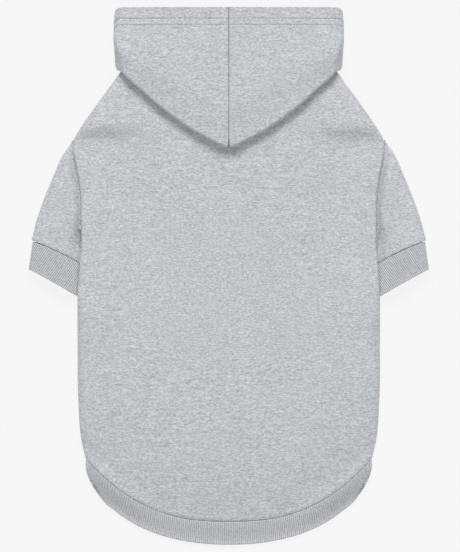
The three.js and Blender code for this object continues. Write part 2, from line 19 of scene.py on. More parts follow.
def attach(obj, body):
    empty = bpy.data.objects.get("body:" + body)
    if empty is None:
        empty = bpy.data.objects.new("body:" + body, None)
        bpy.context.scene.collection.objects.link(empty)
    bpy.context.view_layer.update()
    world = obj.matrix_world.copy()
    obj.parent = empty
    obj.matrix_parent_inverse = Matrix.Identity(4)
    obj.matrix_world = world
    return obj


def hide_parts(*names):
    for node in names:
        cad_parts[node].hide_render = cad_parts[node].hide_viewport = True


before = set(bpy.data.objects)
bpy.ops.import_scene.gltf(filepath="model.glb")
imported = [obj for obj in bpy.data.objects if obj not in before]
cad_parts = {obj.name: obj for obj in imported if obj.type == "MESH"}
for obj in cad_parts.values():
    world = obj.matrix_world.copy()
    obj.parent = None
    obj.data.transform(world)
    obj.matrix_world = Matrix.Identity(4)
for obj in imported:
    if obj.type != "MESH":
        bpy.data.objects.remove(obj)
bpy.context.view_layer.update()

log = logging.getLogger("hoodie")

MM = 0.001
WELD = 0.00002  # in metres, how near two points of a ring's join are when they are one
PRESS_STEP = 0.5  # in millimetres, between the places that a seam presses
TINY = 1e-9
HALF = 0.5  # the mean of a noise, and the middle of a ramp
SWELL = 6.75  # brings the highest value of t * t * (1 - t) to 1
END_RELIEF = 0.3  # how much of its relief a rib keeps at its ends
UP = (0.0, 0.0, 1.0)
WHITE = (1.0, 1.0, 1.0, 1.0)
MIRROR = np.array((-1.0, 1.0, 1.0))

Pair = tuple[float, float]
Triple = tuple[float, float, float]
Colour = Triple
Points = np.ndarray  # rows of x, y, z in millimetres
Plan = Callable[[float], np.ndarray]  # from a share of the way across to a point seen from above
Weight = Callable[[np.ndarray], np.ndarray]  # from points to how strongly each takes a press
Piece = bpy.types.Object
Material = bpy.types.Material
Socket = bpy.types.NodeSocket


class Side(Enum):
    """The garment's left or right, as seen in the photograph."""

    LEFT = -1
    RIGHT = 1

    @property
    def word(self) -> str:
        """The side's name in a piece's name."""
        return self.name.lower()


class Slot(Enum):
    """The material slots."""

    FLEECE = "fleece"
    RIB = "rib"


def mix(a: float, b: float, share: float) -> float:
    """A value a share of the way from a to b."""
    return a + (b - a) * share


def clamp(x: float, low: float = 0.0, high: float = 1.0) -> float:
    """x, kept between low and high."""
    return min(high, max(low, x))


def ease(x: float) -> float:
    """A smooth step from 0 to 1."""
    t = clamp(x)
    return t * t * (3 - 2 * t)


def gather(start: float, end: float, count: int, power: float = 1.0) -> list[float]:
    """Steps from start towards end, closer together near the end for a power above 1.

    Args:
        start: The first step.
        end: The last step.
        count: How many steps lie between them.
        power: How strongly the steps gather near the end.

    Returns:
        count + 1 values, start and end among them.
    """
    return [mix(end, start, (1 - i / count) ** power) for i in range(count + 1)]


def bow(share: float) -> float:
    """A bow that is 0 at both ends and 1 half-way."""
    return 4 * share * (1 - share)


def arch(share: float, power: float) -> float:
    """An arch's height at a share of the way out from its middle, squarer for a higher power."""
    return (1 - min(1.0, share) ** power) ** (1 / power)


def arch_places(count: int, power: float) -> list[float]:
    """Places from -1 to 1, count of them on each side of 0, that lie evenly along such an arch."""
    turns = [math.sin(i / count * math.pi / 2) for i in range(-count, count + 1)]
    return [math.copysign(abs(turn) ** (2 / power), turn) for turn in turns]


def half_turn(count: int) -> list[float]:
    """The angles of a half turn in that many steps."""
    return [math.pi * i / count for i in range(count + 1)]


class Curve:
    """A smooth line through a table's rows that never swings past them."""

    def __init__(self, *rows: Pair) -> None:
        """Keeps the rows, each a place and its value, and works out the line's slopes.

        Args:
            rows: Pairs of place and value, in order of place.
        """
        self.places = [place for place, _ in rows]
        self.values = [value for _, value in rows]
        pairs = zip(rows, rows[1:])
        slopes = [(high[1] - low[1]) / (high[0] - low[0]) for low, high in pairs]
        middle = [0.0 if a * b <= 0 else 2 * a * b / (a + b) for a, b in zip(slopes, slopes[1:])]
        self.bends = [slopes[0], *middle, slopes[-1]]

    def at(self, place: float) -> float:
        """The line's value.

        Args:
            place: Where along the table; beyond its ends the last row holds.

        Returns:
            The value there.
        """
        x = clamp(place, self.places[0], self.places[-1])
        i = 0
        while i < len(self.places) - 2 and self.places[i + 1] < x:
            i += 1
        step = self.places[i + 1] - self.places[i]
        t = (x - self.places[i]) / step
        low = self.values[i] * (1 + 2 * t) * (1 - t) ** 2
        high = self.values[i + 1] * t * t * (3 - 2 * t)
        return low + high + step * (self.bends[i] * t * (1 - t) ** 2 - self.bends[i + 1] * t * t * (1 - t))


@dataclass(frozen=True)
class Walls:
    """How thick the cloths are, and the room that is left between pieces."""

    fleece: float = 2.2
    rib: float = 3.0
    seam_gap: float = 0.5
    lay_gap: float = 0.5

    def half(self, width: float) -> float:
        """From the garment's middle to the middle of the wall at its side."""
        return (width - self.fleece) / 2

    def curl(self, across: float, start: float, height: float) -> float:
        """The height of fleece on the surface that curls up to a height at the side."""
        near = max(0.0, abs(across) - start) / (1 - start)
        return self.fleece / 2 + (height - self.fleece / 2) * near**2


@dataclass(frozen=True)
class BodyCut:
    """The pattern of the two body panels. Lengths down the garment are measured from the nape.

    A place down the body, along, is 0 at the neck, 1 at the shoulder tip, 2 at the armpit and 3 at the hem.
    Curves give shares: of a cut's depth, of the chest's half width, of the body's height or of a rise.
    """

    walls: Walls = Walls()
    chest_width: float = 302.4
    back_length: float = 446.0
    side_length: float = 384.0
    belly_length: float = 345.0
    body_height: float = 23.0
    side_height: float = 5.6
    side_roll: float = 5.0
    armhole_roll: float = 3.2
    neck_width: float = 215.6
    neck_rise: float = 3.5
    throat_drop: float = 22.0
    shoulder_width: float = 310.0
    shoulder_drop: float = 64.0
    armhole_depth: float = 104.5
    back_armhole_cut: float = 11.0
    belly_armhole_cut: float = 36.0
    tuck_height: float = 8.3
    band_width: float = 24.0
    hood_rise: float = 68.0
    crown_power: float = 3.0
    crown_flat: float = 0.4
    crown_turn: float = 0.5
    section_power: float = 4.5
    armhole_power: float = 9.0
    shoulder_round: float = 1.2
    neck_bend: float = 2.0
    hem_bend: float = 2.6
    belly_ramp_start: float = 27.0
    belly_ramp_run: float = 11.0
    back_armhole: Curve = Curve(
        (0.0, 0.0), (0.05, -0.07), (0.1, -0.07), (0.234, 0.177), (0.368, 0.44), (0.5, 0.64), (0.62, 0.73),
        (0.76, 0.76), (0.9, 0.77), (1.0, 0.81),
    )
    belly_armhole: Curve = Curve(
        (0.0, 0.0), (0.1, 0.34), (0.22, 0.6), (0.36, 0.8), (0.52, 0.95), (0.68, 1.0), (0.82, 0.9),
        (0.92, 0.66), (1.0, 0.247),
    )
    side: Curve = Curve(
        (0.0, 0.973), (0.075, 0.985), (0.155, 0.993), (0.24, 1.0), (0.64, 1.0), (0.735, 0.995), (0.85, 0.987),
        (0.95, 0.965), (1.0, 0.944),
    )
    crown: Curve = Curve(
        (0.0, 0.79), (0.6, 0.9), (1.0, 0.94), (1.25, 0.96), (2.28, 1.0), (2.44, 0.97), (2.65, 0.87),
        (2.82, 0.67), (2.93, 0.44), (3.0, 0.24),
    )
    lift: Curve = Curve(
        (0.0, 0.0), (1.0, 0.0), (1.12, 0.3), (1.25, 0.5), (1.6, 0.76), (1.85, 0.96), (2.0, 1.0), (2.28, 1.0),
        (2.44, 0.0), (3.0, 0.0),
    )
    armhole_fall: Curve = Curve((0.8, 0.0), (1.0, 0.8), (1.15, 1.0), (2.0, 1.0), (2.3, 0.0))
    belly_curl: Curve = Curve(
        (0.0, 1.0), (1.0, 1.0), (1.1, 0.0), (1.8, 0.0), (1.91, 0.3), (2.0, 1.0), (3.0, 1.0),
    )
    belly_lift: Curve = Curve(
        (0.0, 0.0), (1.66, 0.0), (1.8, 0.6), (1.91, 1.0), (2.28, 1.0), (2.44, 0.0), (3.0, 0.0),
    )

    @property
    def armpit(self) -> float:
        """How far down the garment the armpit lies."""
        return self.shoulder_drop + self.armhole_depth

    @property
    def nape(self) -> float:
        """Where the nape lies in the garment's frame."""
        return (self.back_length + self.band_width - self.hood_rise) / 2

    def edge(self, along: float, cut: float, armhole: Curve) -> Pair:
        """A point of a panel's right edge.

        Args:
            along: The place down the body.
            cut: How deep the armhole cuts in.
            armhole: The armhole's line.

        Returns:
            How far out and how far up the point lies.
        """
        half = self.walls.half
        shoulder = half(self.shoulder_width)
        if along <= 1:
            t = max(0.0, along)
            swell = self.shoulder_round * SWELL * t * t * (1 - t)
            out = mix(half(self.neck_width), shoulder, t) + swell
            return out, mix(self.neck_rise, -self.shoulder_drop, t)
        if along <= 2:
            down = along - 1
            ends = shoulder - self.back_armhole_cut * self.back_armhole.values[-1]
            shift = (half(self.chest_width) * self.side.values[0] - ends) * ease(down)
            out = shoulder - cut * armhole.at(down) + shift
            return out, -self.shoulder_drop - self.armhole_depth * down
        down = along - 2
        return half(self.chest_width) * self.side.at(down), mix(-self.armpit, -self.side_length, down)

    def back_edge(self, along: float) -> Pair:
        """The back panel's right edge."""
        return self.edge(along, self.back_armhole_cut, self.back_armhole)

    def belly_edge(self, along: float) -> Pair:
        """The belly panel's right edge."""
        return self.edge(along, self.belly_armhole_cut, self.belly_armhole)

    def seam_height(self, along: float) -> float:
        """How high the side seam lies."""
        return self.side_height + self.tuck_height * self.lift.at(along)

    def middle_of(self, y: float, top: float, bottom: float) -> float:
        """How far down the middle a row lies whose side edge is at y.

        Args:
            y: The row's place at the side edge.
            top: The middle of the panel's top edge.
            bottom: The middle of the panel's bottom edge.

        Returns:
            The row's place in the middle.
        """
        level = -self.armpit
        if y > level:
            return mix(level, top, (y - level) / (self.neck_rise - level))
        return mix(level, bottom, (y - level) / (-self.side_length - level))

    def back_point(self, across: float, along: float) -> np.ndarray:
        """A point of the back panel.

        Args:
            across: -1 at the left edge, 0 in the middle and 1 at the right edge.
            along: The place down the body.

        Returns:
            The point down the middle of the cloth.
        """
        out, side_y = self.back_edge(along)
        middle = self.middle_of(side_y, 0.0, -self.back_length)
        share = abs(across)
        bend = self.neck_bend if along < 2 else self.hem_bend
        seam = self.seam_height(along)
        low = self.body_height * self.crown.at(along)
        full = max(low, seam + self.side_roll)
        armhole = self.armhole_fall.at(along)
        beside = mix(full, seam + self.armhole_roll, armhole)
        crown = mix(low, beside, ease((share - self.crown_flat) / self.crown_turn))
        section = arch(share, mix(self.section_power, self.armhole_power, armhole))
        return np.array((out * across, mix(middle, side_y, share**bend), mix(seam, crown, section)))

    def belly_point(self, x: float, along: float) -> np.ndarray:
        """A point of the belly panel's right half.

        Args:
            x: How far from the middle.
            along: The place down the body.

        Returns:
            The point down the middle of the cloth.
        """
        out, side_y = self.belly_edge(along)
        middle = self.middle_of(side_y, -self.throat_drop, -self.belly_length)
        fleece = self.walls.fleece
        curl = self.belly_curl.at(along) * (self.side_height - fleece / 2 - self.walls.seam_gap)
        into = max(0.0, curl - (out - x))
        z = fleece / 2 + curl - math.sqrt(max(0.0, curl * curl - into * into))
        rise = self.tuck_height * self.belly_lift.at(along)
        z += rise * ease((x - out + self.belly_ramp_start) / self.belly_ramp_run)
        return np.array((x, mix(middle, side_y, (x / out) ** self.neck_bend), z))


@dataclass
class Net:
    """Points down the middle of a cloth, in rows, and the way that its outer face looks.

    A net that closes on itself repeats its first column as its last.
    """

    points: np.ndarray
    looks: Triple
    seen_at: tuple[int, int]
    ring: bool = False
    normals: np.ndarray = field(init=False)

    def __post_init__(self) -> None:
        """Works out which way the cloth faces at every point."""
        p = self.points
        down = np.empty_like(p)
        down[1:-1] = p[2:] - p[:-2]
        down[0] = p[1] - p[0]
        down[-1] = p[-1] - p[-2]
        sideways = np.empty_like(p)
        sideways[:, 1:-1] = p[:, 2:] - p[:, :-2]
        sideways[:, 0] = p[:, 1] - (p[:, -2] if self.ring else p[:, 0])
        sideways[:, -1] = (p[:, 1] if self.ring else p[:, -1]) - p[:, -2]
        normals = np.cross(down, sideways)
        normals /= np.maximum(np.linalg.norm(normals, axis=2, keepdims=True), TINY)
        if normals[self.seen_at] @ np.array(self.looks) < 0:
            normals = -normals
        self.normals = normals

    def row(self, index: int) -> Points:
        """A row of the net."""
        return self.points[index]

    def column(self, index: int, lift: float = 0.0) -> Points:
        """A column of the net, lifted off the middle of the cloth."""
        return self.points[:, index] + lift * self.normals[:, index]

    def mirrored(self, side: Side) -> "Net":
        """The net on one side of the garment, from one made on the right.

        Args:
            side: The side that it is for.

        Returns:
            The net itself, or its mirror image.
        """
        if side is Side.RIGHT:
            return self
        looks = (-self.looks[0], self.looks[1], self.looks[2])
        return Net(self.points * MIRROR, looks, self.seen_at, self.ring)


def only(piece: Piece) -> None:
    """Leaves one object alone selected and active.

    Args:
        piece: The object.
    """
    bpy.ops.object.select_all(action="DESELECT")
    piece.select_set(True)
    bpy.context.view_layer.objects.active = piece


def apply(piece: Piece, modifier: bpy.types.Modifier) -> None:
    """Applies a modifier to its object."""
    only(piece)
    bpy.ops.object.modifier_apply(modifier=modifier.name)


def resample(line: Points, spacing: float) -> Points:
    """The same line with points at an even spacing.

    Args:
        line: Points along the line.
        spacing: About how far apart the new points lie.

    Returns:
        The new points, both ends among them.
    """
    steps = np.linalg.norm(np.diff(line, axis=0), axis=1)
    run = np.concatenate(([0.0], np.cumsum(steps)))
    count = max(2, int(round(run[-1] / spacing)) + 1)
    places = np.linspace(0.0, run[-1], count)
    return np.stack([np.interp(places, run, line[:, axis]) for axis in range(3)], axis=1)


@dataclass(frozen=True)
class Press:
    """How a seam presses the cloth beside it: a groove, and a ridge a little way off."""

    depth: float = 0.8
    width: float = 1.1
    ridge: float = 0.35
    ridge_at: float = 3.0
    ridge_width: float = 1.3

    def rise(self, distance: np.ndarray) -> np.ndarray:
        """How far the cloth stands out beside a seam.

        Args:
            distance: Each point's distance from the seam, in millimetres.

        Returns:
            Each point's rise, below 0 in the groove.
        """
        groove = self.depth * np.exp(-((distance / self.width) ** 2))
        ridge = self.ridge * np.exp(-(((distance - self.ridge_at) / self.ridge_width) ** 2))
        return ridge - groove


@dataclass(frozen=True)
class Cloth:
    """One kind of cloth, and how finely a sheet of it is made."""

    wall: float
    levels: int = 2
    edge_round: float = 0.55
    edge_angle: float = 55.0
    wave: float = 0.3
    wave_length: float = 55.0
    fine_wave: float = 0.5
    fine_scale: float = 2.3

    def lay(self, name: str, net: Net) -> Piece:
        """Lays a grid on a net and smooths it.

        Args:
            name: The piece's name.
            net: The net, in the garment's own frame.

        Returns:
            The sheet, with no wall yet.
        """
        rows, columns = net.points.shape[:2]
        bpy.ops.object.select_all(action="DESELECT")
        bpy.ops.mesh.primitive_grid_add(
            x_subdivisions=columns - 1, y_subdivisions=rows - 1, size=2, calc_uvs=True
        )
        piece = bpy.context.active_object
        piece.name = name
        mesh = piece.data
        mesh.name = name
        flat = read(mesh, "co")
        column = np.rint((flat[:, 0] + 1) / 2 * (columns - 1)).astype(int)
        row = np.rint((flat[:, 1] + 1) / 2 * (rows - 1)).astype(int)
        write(mesh, net.points[row, column] * MM)
        for word, values in (("net_row", row), ("net_column", column)):
            mesh.attributes.new(word, "FLOAT", "POINT").data.foreach_set("value", values.astype(np.float32))
        facing = (read(mesh, "normal") * net.normals[row, column]).sum()
        only(piece)
        bpy.ops.object.mode_set(mode="EDIT")
        bpy.ops.mesh.select_all(action="SELECT")
        if net.ring:
            bpy.ops.mesh.remove_doubles(threshold=WELD)
        if facing < 0:
            bpy.ops.mesh.flip_normals()
        bpy.ops.object.mode_set(mode="OBJECT")
        if self.levels:
            smooth = piece.modifiers.new("smooth", "SUBSURF")
            smooth.levels = smooth.render_levels = self.levels
            smooth.boundary_smooth = "PRESERVE_CORNERS"
            smooth.uv_smooth = "PRESERVE_BOUNDARIES"
            apply(piece, smooth)
        return piece

    def settle(self, piece: Piece, seed: float) -> None:
        """Gives a sheet the slight unevenness of cloth that was laid by hand.

        Args:
            piece: The sheet.
            seed: Where in the pattern of waves this sheet lies.
        """
        places = read(piece.data, "co") / MM
        waves = np.empty(len(places))
        for i, place in enumerate(places):
            at = Vector(place) / self.wave_length + Vector((seed, seed, seed))
            waves[i] = noise.noise(at) + self.fine_wave * noise.noise(at * self.fine_scale)
        push(piece, self.wave * waves)

    def thicken(self, piece: Piece) -> None:
        """Gives a sheet its wall and rounds its cut edges.

        Args:
            piece: The sheet, down the middle of its wall.
        """
        wall = piece.modifiers.new("wall", "SOLIDIFY")
        wall.thickness = self.wall * MM
        wall.offset = 0.0
        apply(piece, wall)
        if self.edge_round:
            edges = piece.modifiers.new("edges", "BEVEL")
            edges.limit_method = "ANGLE"
            edges.angle_limit = math.radians(self.edge_angle)
            edges.width = self.edge_round * MM
            edges.segments = 2
            apply(piece, edges)
        only(piece)
        bpy.ops.object.shade_smooth()


def read(mesh: bpy.types.Mesh, what: str) -> np.ndarray:
    """A mesh's vertex places or normals.

    Args:
        mesh: The mesh.
        what: co for the places, or normal.

    Returns:
        Rows of three, one for each vertex.
    """
    values = np.empty(len(mesh.vertices) * 3, dtype=np.float64)
    mesh.vertices.foreach_get(what, values)
    return values.reshape(-1, 3)


def write(mesh: bpy.types.Mesh, places: np.ndarray) -> None:
    """Moves a mesh's vertices to those places."""
    mesh.vertices.foreach_set("co", places.astype(np.float64).ravel())
    mesh.update()


def push(piece: Piece, rise: np.ndarray) -> None:
    """Moves a sheet's points out along its normals, by so many millimetres."""
    mesh = piece.data
    write(mesh, read(mesh, "co") + read(mesh, "normal") * (rise * MM)[:, None])


def press(piece: Piece, seam: Points, how: Press, weight: Weight | None = None) -> None:
    """Presses a sheet along a seam.

    Args:
        piece: The sheet.
        seam: Points along the seam, in the garment's own frame.
        how: The groove and ridge.
        weight: How strongly each point takes it.
    """
    line = resample(seam, PRESS_STEP)
    tree = KDTree(len(line))
    for i, place in enumerate(line):
        tree.insert(place, i)
    tree.balance()
    places = read(piece.data, "co") / MM
    distance = np.array([tree.find(place)[2] for place in places])
    rise = how.rise(distance)
    if weight is not None:
        rise *= weight(places)
    push(piece, rise)


def rest(piece: Piece) -> None:
    """Lets a finished sheet lie on the surface, with nothing below it.

    Args:
        piece: The sheet, in the part's frame.
    """
    places = read(piece.data, "co")
    places[:, 2] = np.maximum(places[:, 2], 0.0)
    write(piece.data, places)


def place_in_frame(piece: Piece, nape: float) -> None:
    """Moves a sheet from the garment's own frame, which starts at the nape, into the part's.

    Args:
        piece: The sheet.
        nape: Where the nape lies in the part's frame.
    """
    places = read(piece.data, "co")
    places[:, 1] += nape * MM
    write(piece.data, places)


class Recipe:
    """A material's nodes while they are put together."""

    sheen_roughness = 0.5
    specular = 0.2

    def __init__(self, name: str) -> None:
        """Starts a material with only its shader and output.

        Args:
            name: The material's name.
        """
        self.material = bpy.data.materials.new(name)
        self.material.use_nodes = True
        self.nodes = self.material.node_tree.nodes
        self.links = self.material.node_tree.links
        self.shader = self.nodes["Principled BSDF"]

    def add(self, kind: str, **settings: object) -> bpy.types.Node:
        """Adds a node and sets what it is given.

        Args:
            kind: The node's type, without its prefix.
            settings: Properties of the node.

        Returns:
            The node.
        """
        node = self.nodes.new("ShaderNode" + kind)
        for word, value in settings.items():
            setattr(node, word, value)
        return node

    def join(self, source: Socket, target: Socket) -> None:
        """Links one socket to another."""
        self.links.new(source, target)

    def noise(self, source: Socket, grain: Triple, detail: float, warp: float = 0.0) -> Socket:
        """Noise whose grains have that size.

        Args:
            source: The coordinates.
            grain: The grains' length along each axis, in millimetres.
            detail: How many finer layers it has.
            warp: How much the grains wander.

        Returns:
            The noise's value, about 0.5 in the mean.
        """
        mapping = self.add("Mapping")
        mapping.inputs["Scale"].default_value = tuple(1 / (size * MM) for size in grain)
        texture = self.add("TexNoise")
        texture.inputs["Scale"].default_value = 1.0
        texture.inputs["Detail"].default_value = detail
        texture.inputs["Distortion"].default_value = warp
        self.join(source, mapping.inputs["Vector"])
        self.join(mapping.outputs["Vector"], texture.inputs["Vector"])
        return texture.outputs["Fac"]

    def ramp(self, source: Socket, *stops: tuple[float, Colour]) -> Socket:
        """Colours for a value.

        Args:
            source: The value.
            stops: Places between 0 and 1 and their colours.

        Returns:
            The colour.
        """
        node = self.add("ValToRGB")
        elements = node.color_ramp.elements
        while len(elements) < len(stops):
            elements.new(HALF)
        for element, (place, colour) in zip(elements, stops):
            element.position = place
            element.color = (*colour, 1.0)
        self.join(source, node.inputs["Fac"])
        return node.outputs["Color"]

    def yarns(self, source: Socket, spread: float, *colours: Colour) -> Socket:
        """Dark, middle and pale yarns for a noise, the outer two that far from its mean."""
        return self.ramp(source, *zip((HALF - spread, HALF, HALF + spread), colours))

    def blend(self, share: float, a: Socket, b: Socket) -> Socket:
        """Two colours blended.

        Args:
            share: How much of the second.
            a: The first colour.
            b: The second colour.

        Returns:
            The blended colour.
        """
        node = self.add("Mix", data_type="RGBA", blend_type="MIX")
        node.inputs["Factor"].default_value = share
        self.join(a, node.inputs[6])
        self.join(b, node.inputs[7])
        return node.outputs[2]

    def maths(self, work: str, a: Socket, b: Socket | float) -> Socket:
        """One sum on two values.

        Args:
            work: The operation.
            a: The first value.
            b: The second value, or a number.

        Returns:
            The result.
        """
        node = self.add("Math", operation=work)
        self.join(a, node.inputs[0])
        if isinstance(b, (int, float)):
            node.inputs[1].default_value = b
        else:
            self.join(b, node.inputs[1])
        return node.outputs["Value"]

    def bump(self, height: Socket, depth: float, strength: float) -> None:
        """Roughens the surface.

        Args:
            height: The height's pattern.
            depth: How deep it goes, in millimetres.
            strength: How strongly it shows.
        """
        node = self.add("Bump")
        node.inputs["Distance"].default_value = depth * MM
        node.inputs["Strength"].default_value = strength
        self.join(height, node.inputs["Height"])
        self.join(node.outputs["Normal"], self.shader.inputs["Normal"])

    def finish(self, roughness: float, sheen: float) -> Material:
        """Sets how the surface shines, and gives the material.

        Args:
            roughness: How matt it is.
            sheen: How much its fibres glow at a low angle.

        Returns:
            The finished material.
        """
        values = {
            "Roughness": roughness,
            "Sheen Weight": sheen,
            "Sheen Roughness": self.sheen_roughness,
            "Specular IOR Level": self.specular,
        }
        for word, value in values.items():
            self.shader.inputs[word].default_value = value
        return self.material


@dataclass(frozen=True)
class HeatherFleece:
    """Brushed fleece of mixed grey yarns: short streaks across the garment, on a soft matt nap.

    Grains are given by their length along each axis, in millimetres, as the nap's width and depth are.
    """

    name: str = "heather_fleece"
    ground: Colour = (0.535, 0.541, 0.567)
    dark: Colour = (0.34, 0.345, 0.37)
    pale: Colour = (0.73, 0.735, 0.76)
    flecks: Triple = (2.5, 1.15, 2.0)
    fleck_spread: float = 0.18
    streaks: Triple = (11.0, 1.6, 3.0)
    streak_spread: float = 0.16
    streak_share: float = 0.25
    clouds: Triple = (30.0, 22.0, 22.0)
    cloud_spread: float = 0.2
    cloud_share: float = 0.05
    nap: float = 0.55
    nap_length: float = 1.6
    nap_depth: float = 0.35
    nap_strength: float = 0.55
    fleck_rise: float = 0.8
    roughness: float = 0.95
    sheen: float = 0.30

    def make(self) -> Material:
        """The fleece's material.

        Returns:
            The material, with its flecks, streaks and nap.
        """
        recipe = Recipe(self.name)
        place = recipe.add("TexCoord").outputs["Object"]
        flecks = recipe.noise(place, self.flecks, detail=2.0, warp=0.5)
        streaks = recipe.noise(place, self.streaks, detail=3.0, warp=0.6)
        clouds = recipe.noise(place, self.clouds, detail=2.0)
        greys = self.dark, self.ground, self.pale
        yarn = recipe.yarns(flecks, self.fleck_spread, *greys)
        run = recipe.yarns(streaks, self.streak_spread, *greys)
        drift = recipe.yarns(clouds, self.cloud_spread, *greys)
        colour = recipe.blend(self.streak_share, yarn, run)
        colour = recipe.blend(self.cloud_share, colour, drift)
        recipe.join(colour, recipe.shader.inputs["Base Color"])
        fibre = (self.nap * self.nap_length, self.nap, self.nap)
        fibres = recipe.noise(place, fibre, detail=3.0, warp=0.4)
        height = recipe.maths("ADD", fibres, recipe.maths("MULTIPLY", flecks, self.fleck_rise))
        recipe.bump(height, self.nap_depth, self.nap_strength)
        return recipe.finish(self.roughness, self.sheen)


@dataclass(frozen=True)
class RibKnit:
    """Ribbed knit in the fleece's greys: wales that stand up, and valleys between them darkened with painted
    shade.
    """

    name: str = "rib_knit"
    wale: Colour = (0.63, 0.635, 0.66)
    valley_shade_and_dark_yarn: Colour = (0.23, 0.235, 0.25)
    pale: Colour = (0.71, 0.715, 0.74)
    full_at: float = 0.45
    flecks: Triple = (1.6, 1.6, 1.6)
    fleck_share: float = 0.3
    fleck_rise: float = 0.5
    course: float = 1.3
    course_rise: float = 0.15
    depth: float = 0.25
    strength: float = 0.4
    roughness: float = 0.95
    sheen: float = 0.20

    def make(self) -> Material:
        """The rib knit's material: its UV map counts the wales across and millimetres along.

        Returns:
            The material, with its wales, flecks and courses, and painted shade in the valleys.
        """
        recipe = Recipe(self.name)
        coordinates = recipe.add("TexCoord")
        parts = recipe.add("SeparateXYZ")
        recipe.join(coordinates.outputs["UV"], parts.inputs["Vector"])
        turn = recipe.maths("MULTIPLY", parts.outputs["X"], 2 * math.pi)
        wales = recipe.maths("COSINE", turn, 0.0)
        share = recipe.maths("MULTIPLY_ADD", wales, HALF)
        share.node.inputs[2].default_value = HALF
        # Painted shade: the colour darkens from each wale's crest into the valley between wales.
        colour = recipe.ramp(share, (0.0, self.valley_shade_and_dark_yarn), (self.full_at, self.wale), (1.0, self.wale))
        flecks = recipe.noise(coordinates.outputs["Object"], self.flecks, detail=2.0, warp=0.5)
        # The same dark grey also colours the darkest yarn flecks.
        yarn = recipe.ramp(flecks, (0.3, self.valley_shade_and_dark_yarn), (HALF, self.wale), (0.72, self.pale))
        colour = recipe.blend(self.fleck_share, colour, yarn)
        recipe.join(colour, recipe.shader.inputs["Base Color"])
        turn = recipe.maths("MULTIPLY", parts.outputs["Y"], 2 * math.pi / self.course)
        courses = recipe.maths("SINE", turn, 0.0)
        height = recipe.maths("ADD", share, recipe.maths("MULTIPLY", courses, self.course_rise))
        height = recipe.maths("ADD", height, recipe.maths("MULTIPLY", flecks, self.fleck_rise))
        recipe.bump(height, self.depth, self.strength)
        return recipe.finish(self.roughness, self.sheen)


@dataclass(frozen=True)
class SewingThread:
    """Spun thread in a darker grey, twisted along its length."""

    name: str = "sewing_thread"
    dark: Colour = (0.24, 0.245, 0.26)
    pale: Colour = (0.36, 0.365, 0.38)
    strands: Triple = (0.5, 0.25, 0.25)
    depth: float = 0.1
    strength: float = 0.5
    roughness: float = 0.8
    sheen: float = 0.05

    def make(self) -> Material:
        """The thread's material.

        Returns:
            The material, with its strands.
        """
        recipe = Recipe(self.name)
        place = recipe.add("TexCoord").outputs["Object"]
        strands = recipe.noise(place, self.strands, detail=2.0)
        colour = recipe.ramp(strands, (0.35, self.dark), (0.65, self.pale))
        recipe.join(colour, recipe.shader.inputs["Base Color"])
        recipe.bump(strands, self.depth, self.strength)
        return recipe.finish(self.roughness, self.sheen)


@dataclass(frozen=True)
class Finishes:
    """The three materials that the garment is made of."""

    fleece: Material
    rib: Material
    thread: Material


@dataclass(frozen=True)
class Stitching:
    """A row of lockstitches: each shows as a short raised thread."""

    pitch: float = 3.0
    length: float = 2.3
    thickness: float = 0.7
    path_step: float = 2.0
    segments: int = 6
    rings: int = 4

    def sew(self, name: str, line: Points, nape: float, thread: Material) -> None:
        """Sews a row of stitches along a line.

        Args:
            name: The row's name.
            line: Points on the cloth's face, in the garment's own frame.
            nape: Where that frame lies in the part's.
            thread: The thread's material.
        """
        path = resample(line, self.path_step) + np.array((0.0, nape, 0.0))
        run = float(np.linalg.norm(np.diff(path, axis=0), axis=1).sum())
        guide_curve = bpy.data.curves.new(name + "_guide", "CURVE")
        guide_curve.dimensions = "3D"
        guide_curve.twist_mode = "MINIMUM"
        spline = guide_curve.splines.new("POLY")
        spline.points.add(len(path) - 1)
        spline.points.foreach_set("co", np.column_stack((path * MM, np.ones(len(path)))).ravel())
        guide = bpy.data.objects.new(name + "_guide", guide_curve)
        bpy.context.collection.objects.link(guide)
        bpy.ops.object.select_all(action="DESELECT")
        bpy.ops.mesh.primitive_uv_sphere_add(
            segments=self.segments, ring_count=self.rings, radius=0.5 * MM
        )
        row = bpy.context.active_object
        row.name = row.data.name = name
        row.rotation_euler = (0.0, math.radians(90), 0.0)
        bpy.ops.object.transform_apply(location=False, rotation=True, scale=False)
        row.scale = (self.length, self.thickness, self.thickness)
        row.location = (0.5 * self.pitch * MM, 0.0, 0.0)
        bpy.ops.object.transform_apply(location=True, rotation=False, scale=True)
        count = max(1, int(run / self.pitch))
        copies = row.modifiers.new("copies", "ARRAY")
        copies.count = count
        copies.use_relative_offset = False
        copies.use_constant_offset = True
        copies.constant_offset_displace = (self.pitch * MM, 0.0, 0.0)
        apply(row, copies)
        follow = row.modifiers.new("follow", "CURVE")
        follow.object = guide
        follow.deform_axis = "POS_X"
        apply(row, follow)
        only(row)
        bpy.ops.object.shade_smooth()
        bpy.data.objects.remove(guide)
        bpy.data.curves.remove(guide_curve)
        row.data.materials.append(thread)
        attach(row, "root")
        log.info("%s: %d stitches", name, count)


def dress(
    piece: Piece,
    material: Material,
    slot: Slot,
    flat: Pair,
    area: float,
) -> None:
    """Gives a finished sheet its cloth, lets it rest on the surface, and hides the part that it stands for.

    Args:
        piece: The finished sheet, named after the node it stands for and the word cloth.
        material: Its cloth.
        slot: Not used.
        flat: Not used.
        area: Not used.
    """
    rest(piece)
    piece.data.materials.clear()
    piece.data.materials.append(material)
    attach(piece, "root")
    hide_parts(piece.name.removesuffix("_cloth"))
    log.info("%s: %d faces", piece.name, len(piece.data.polygons))


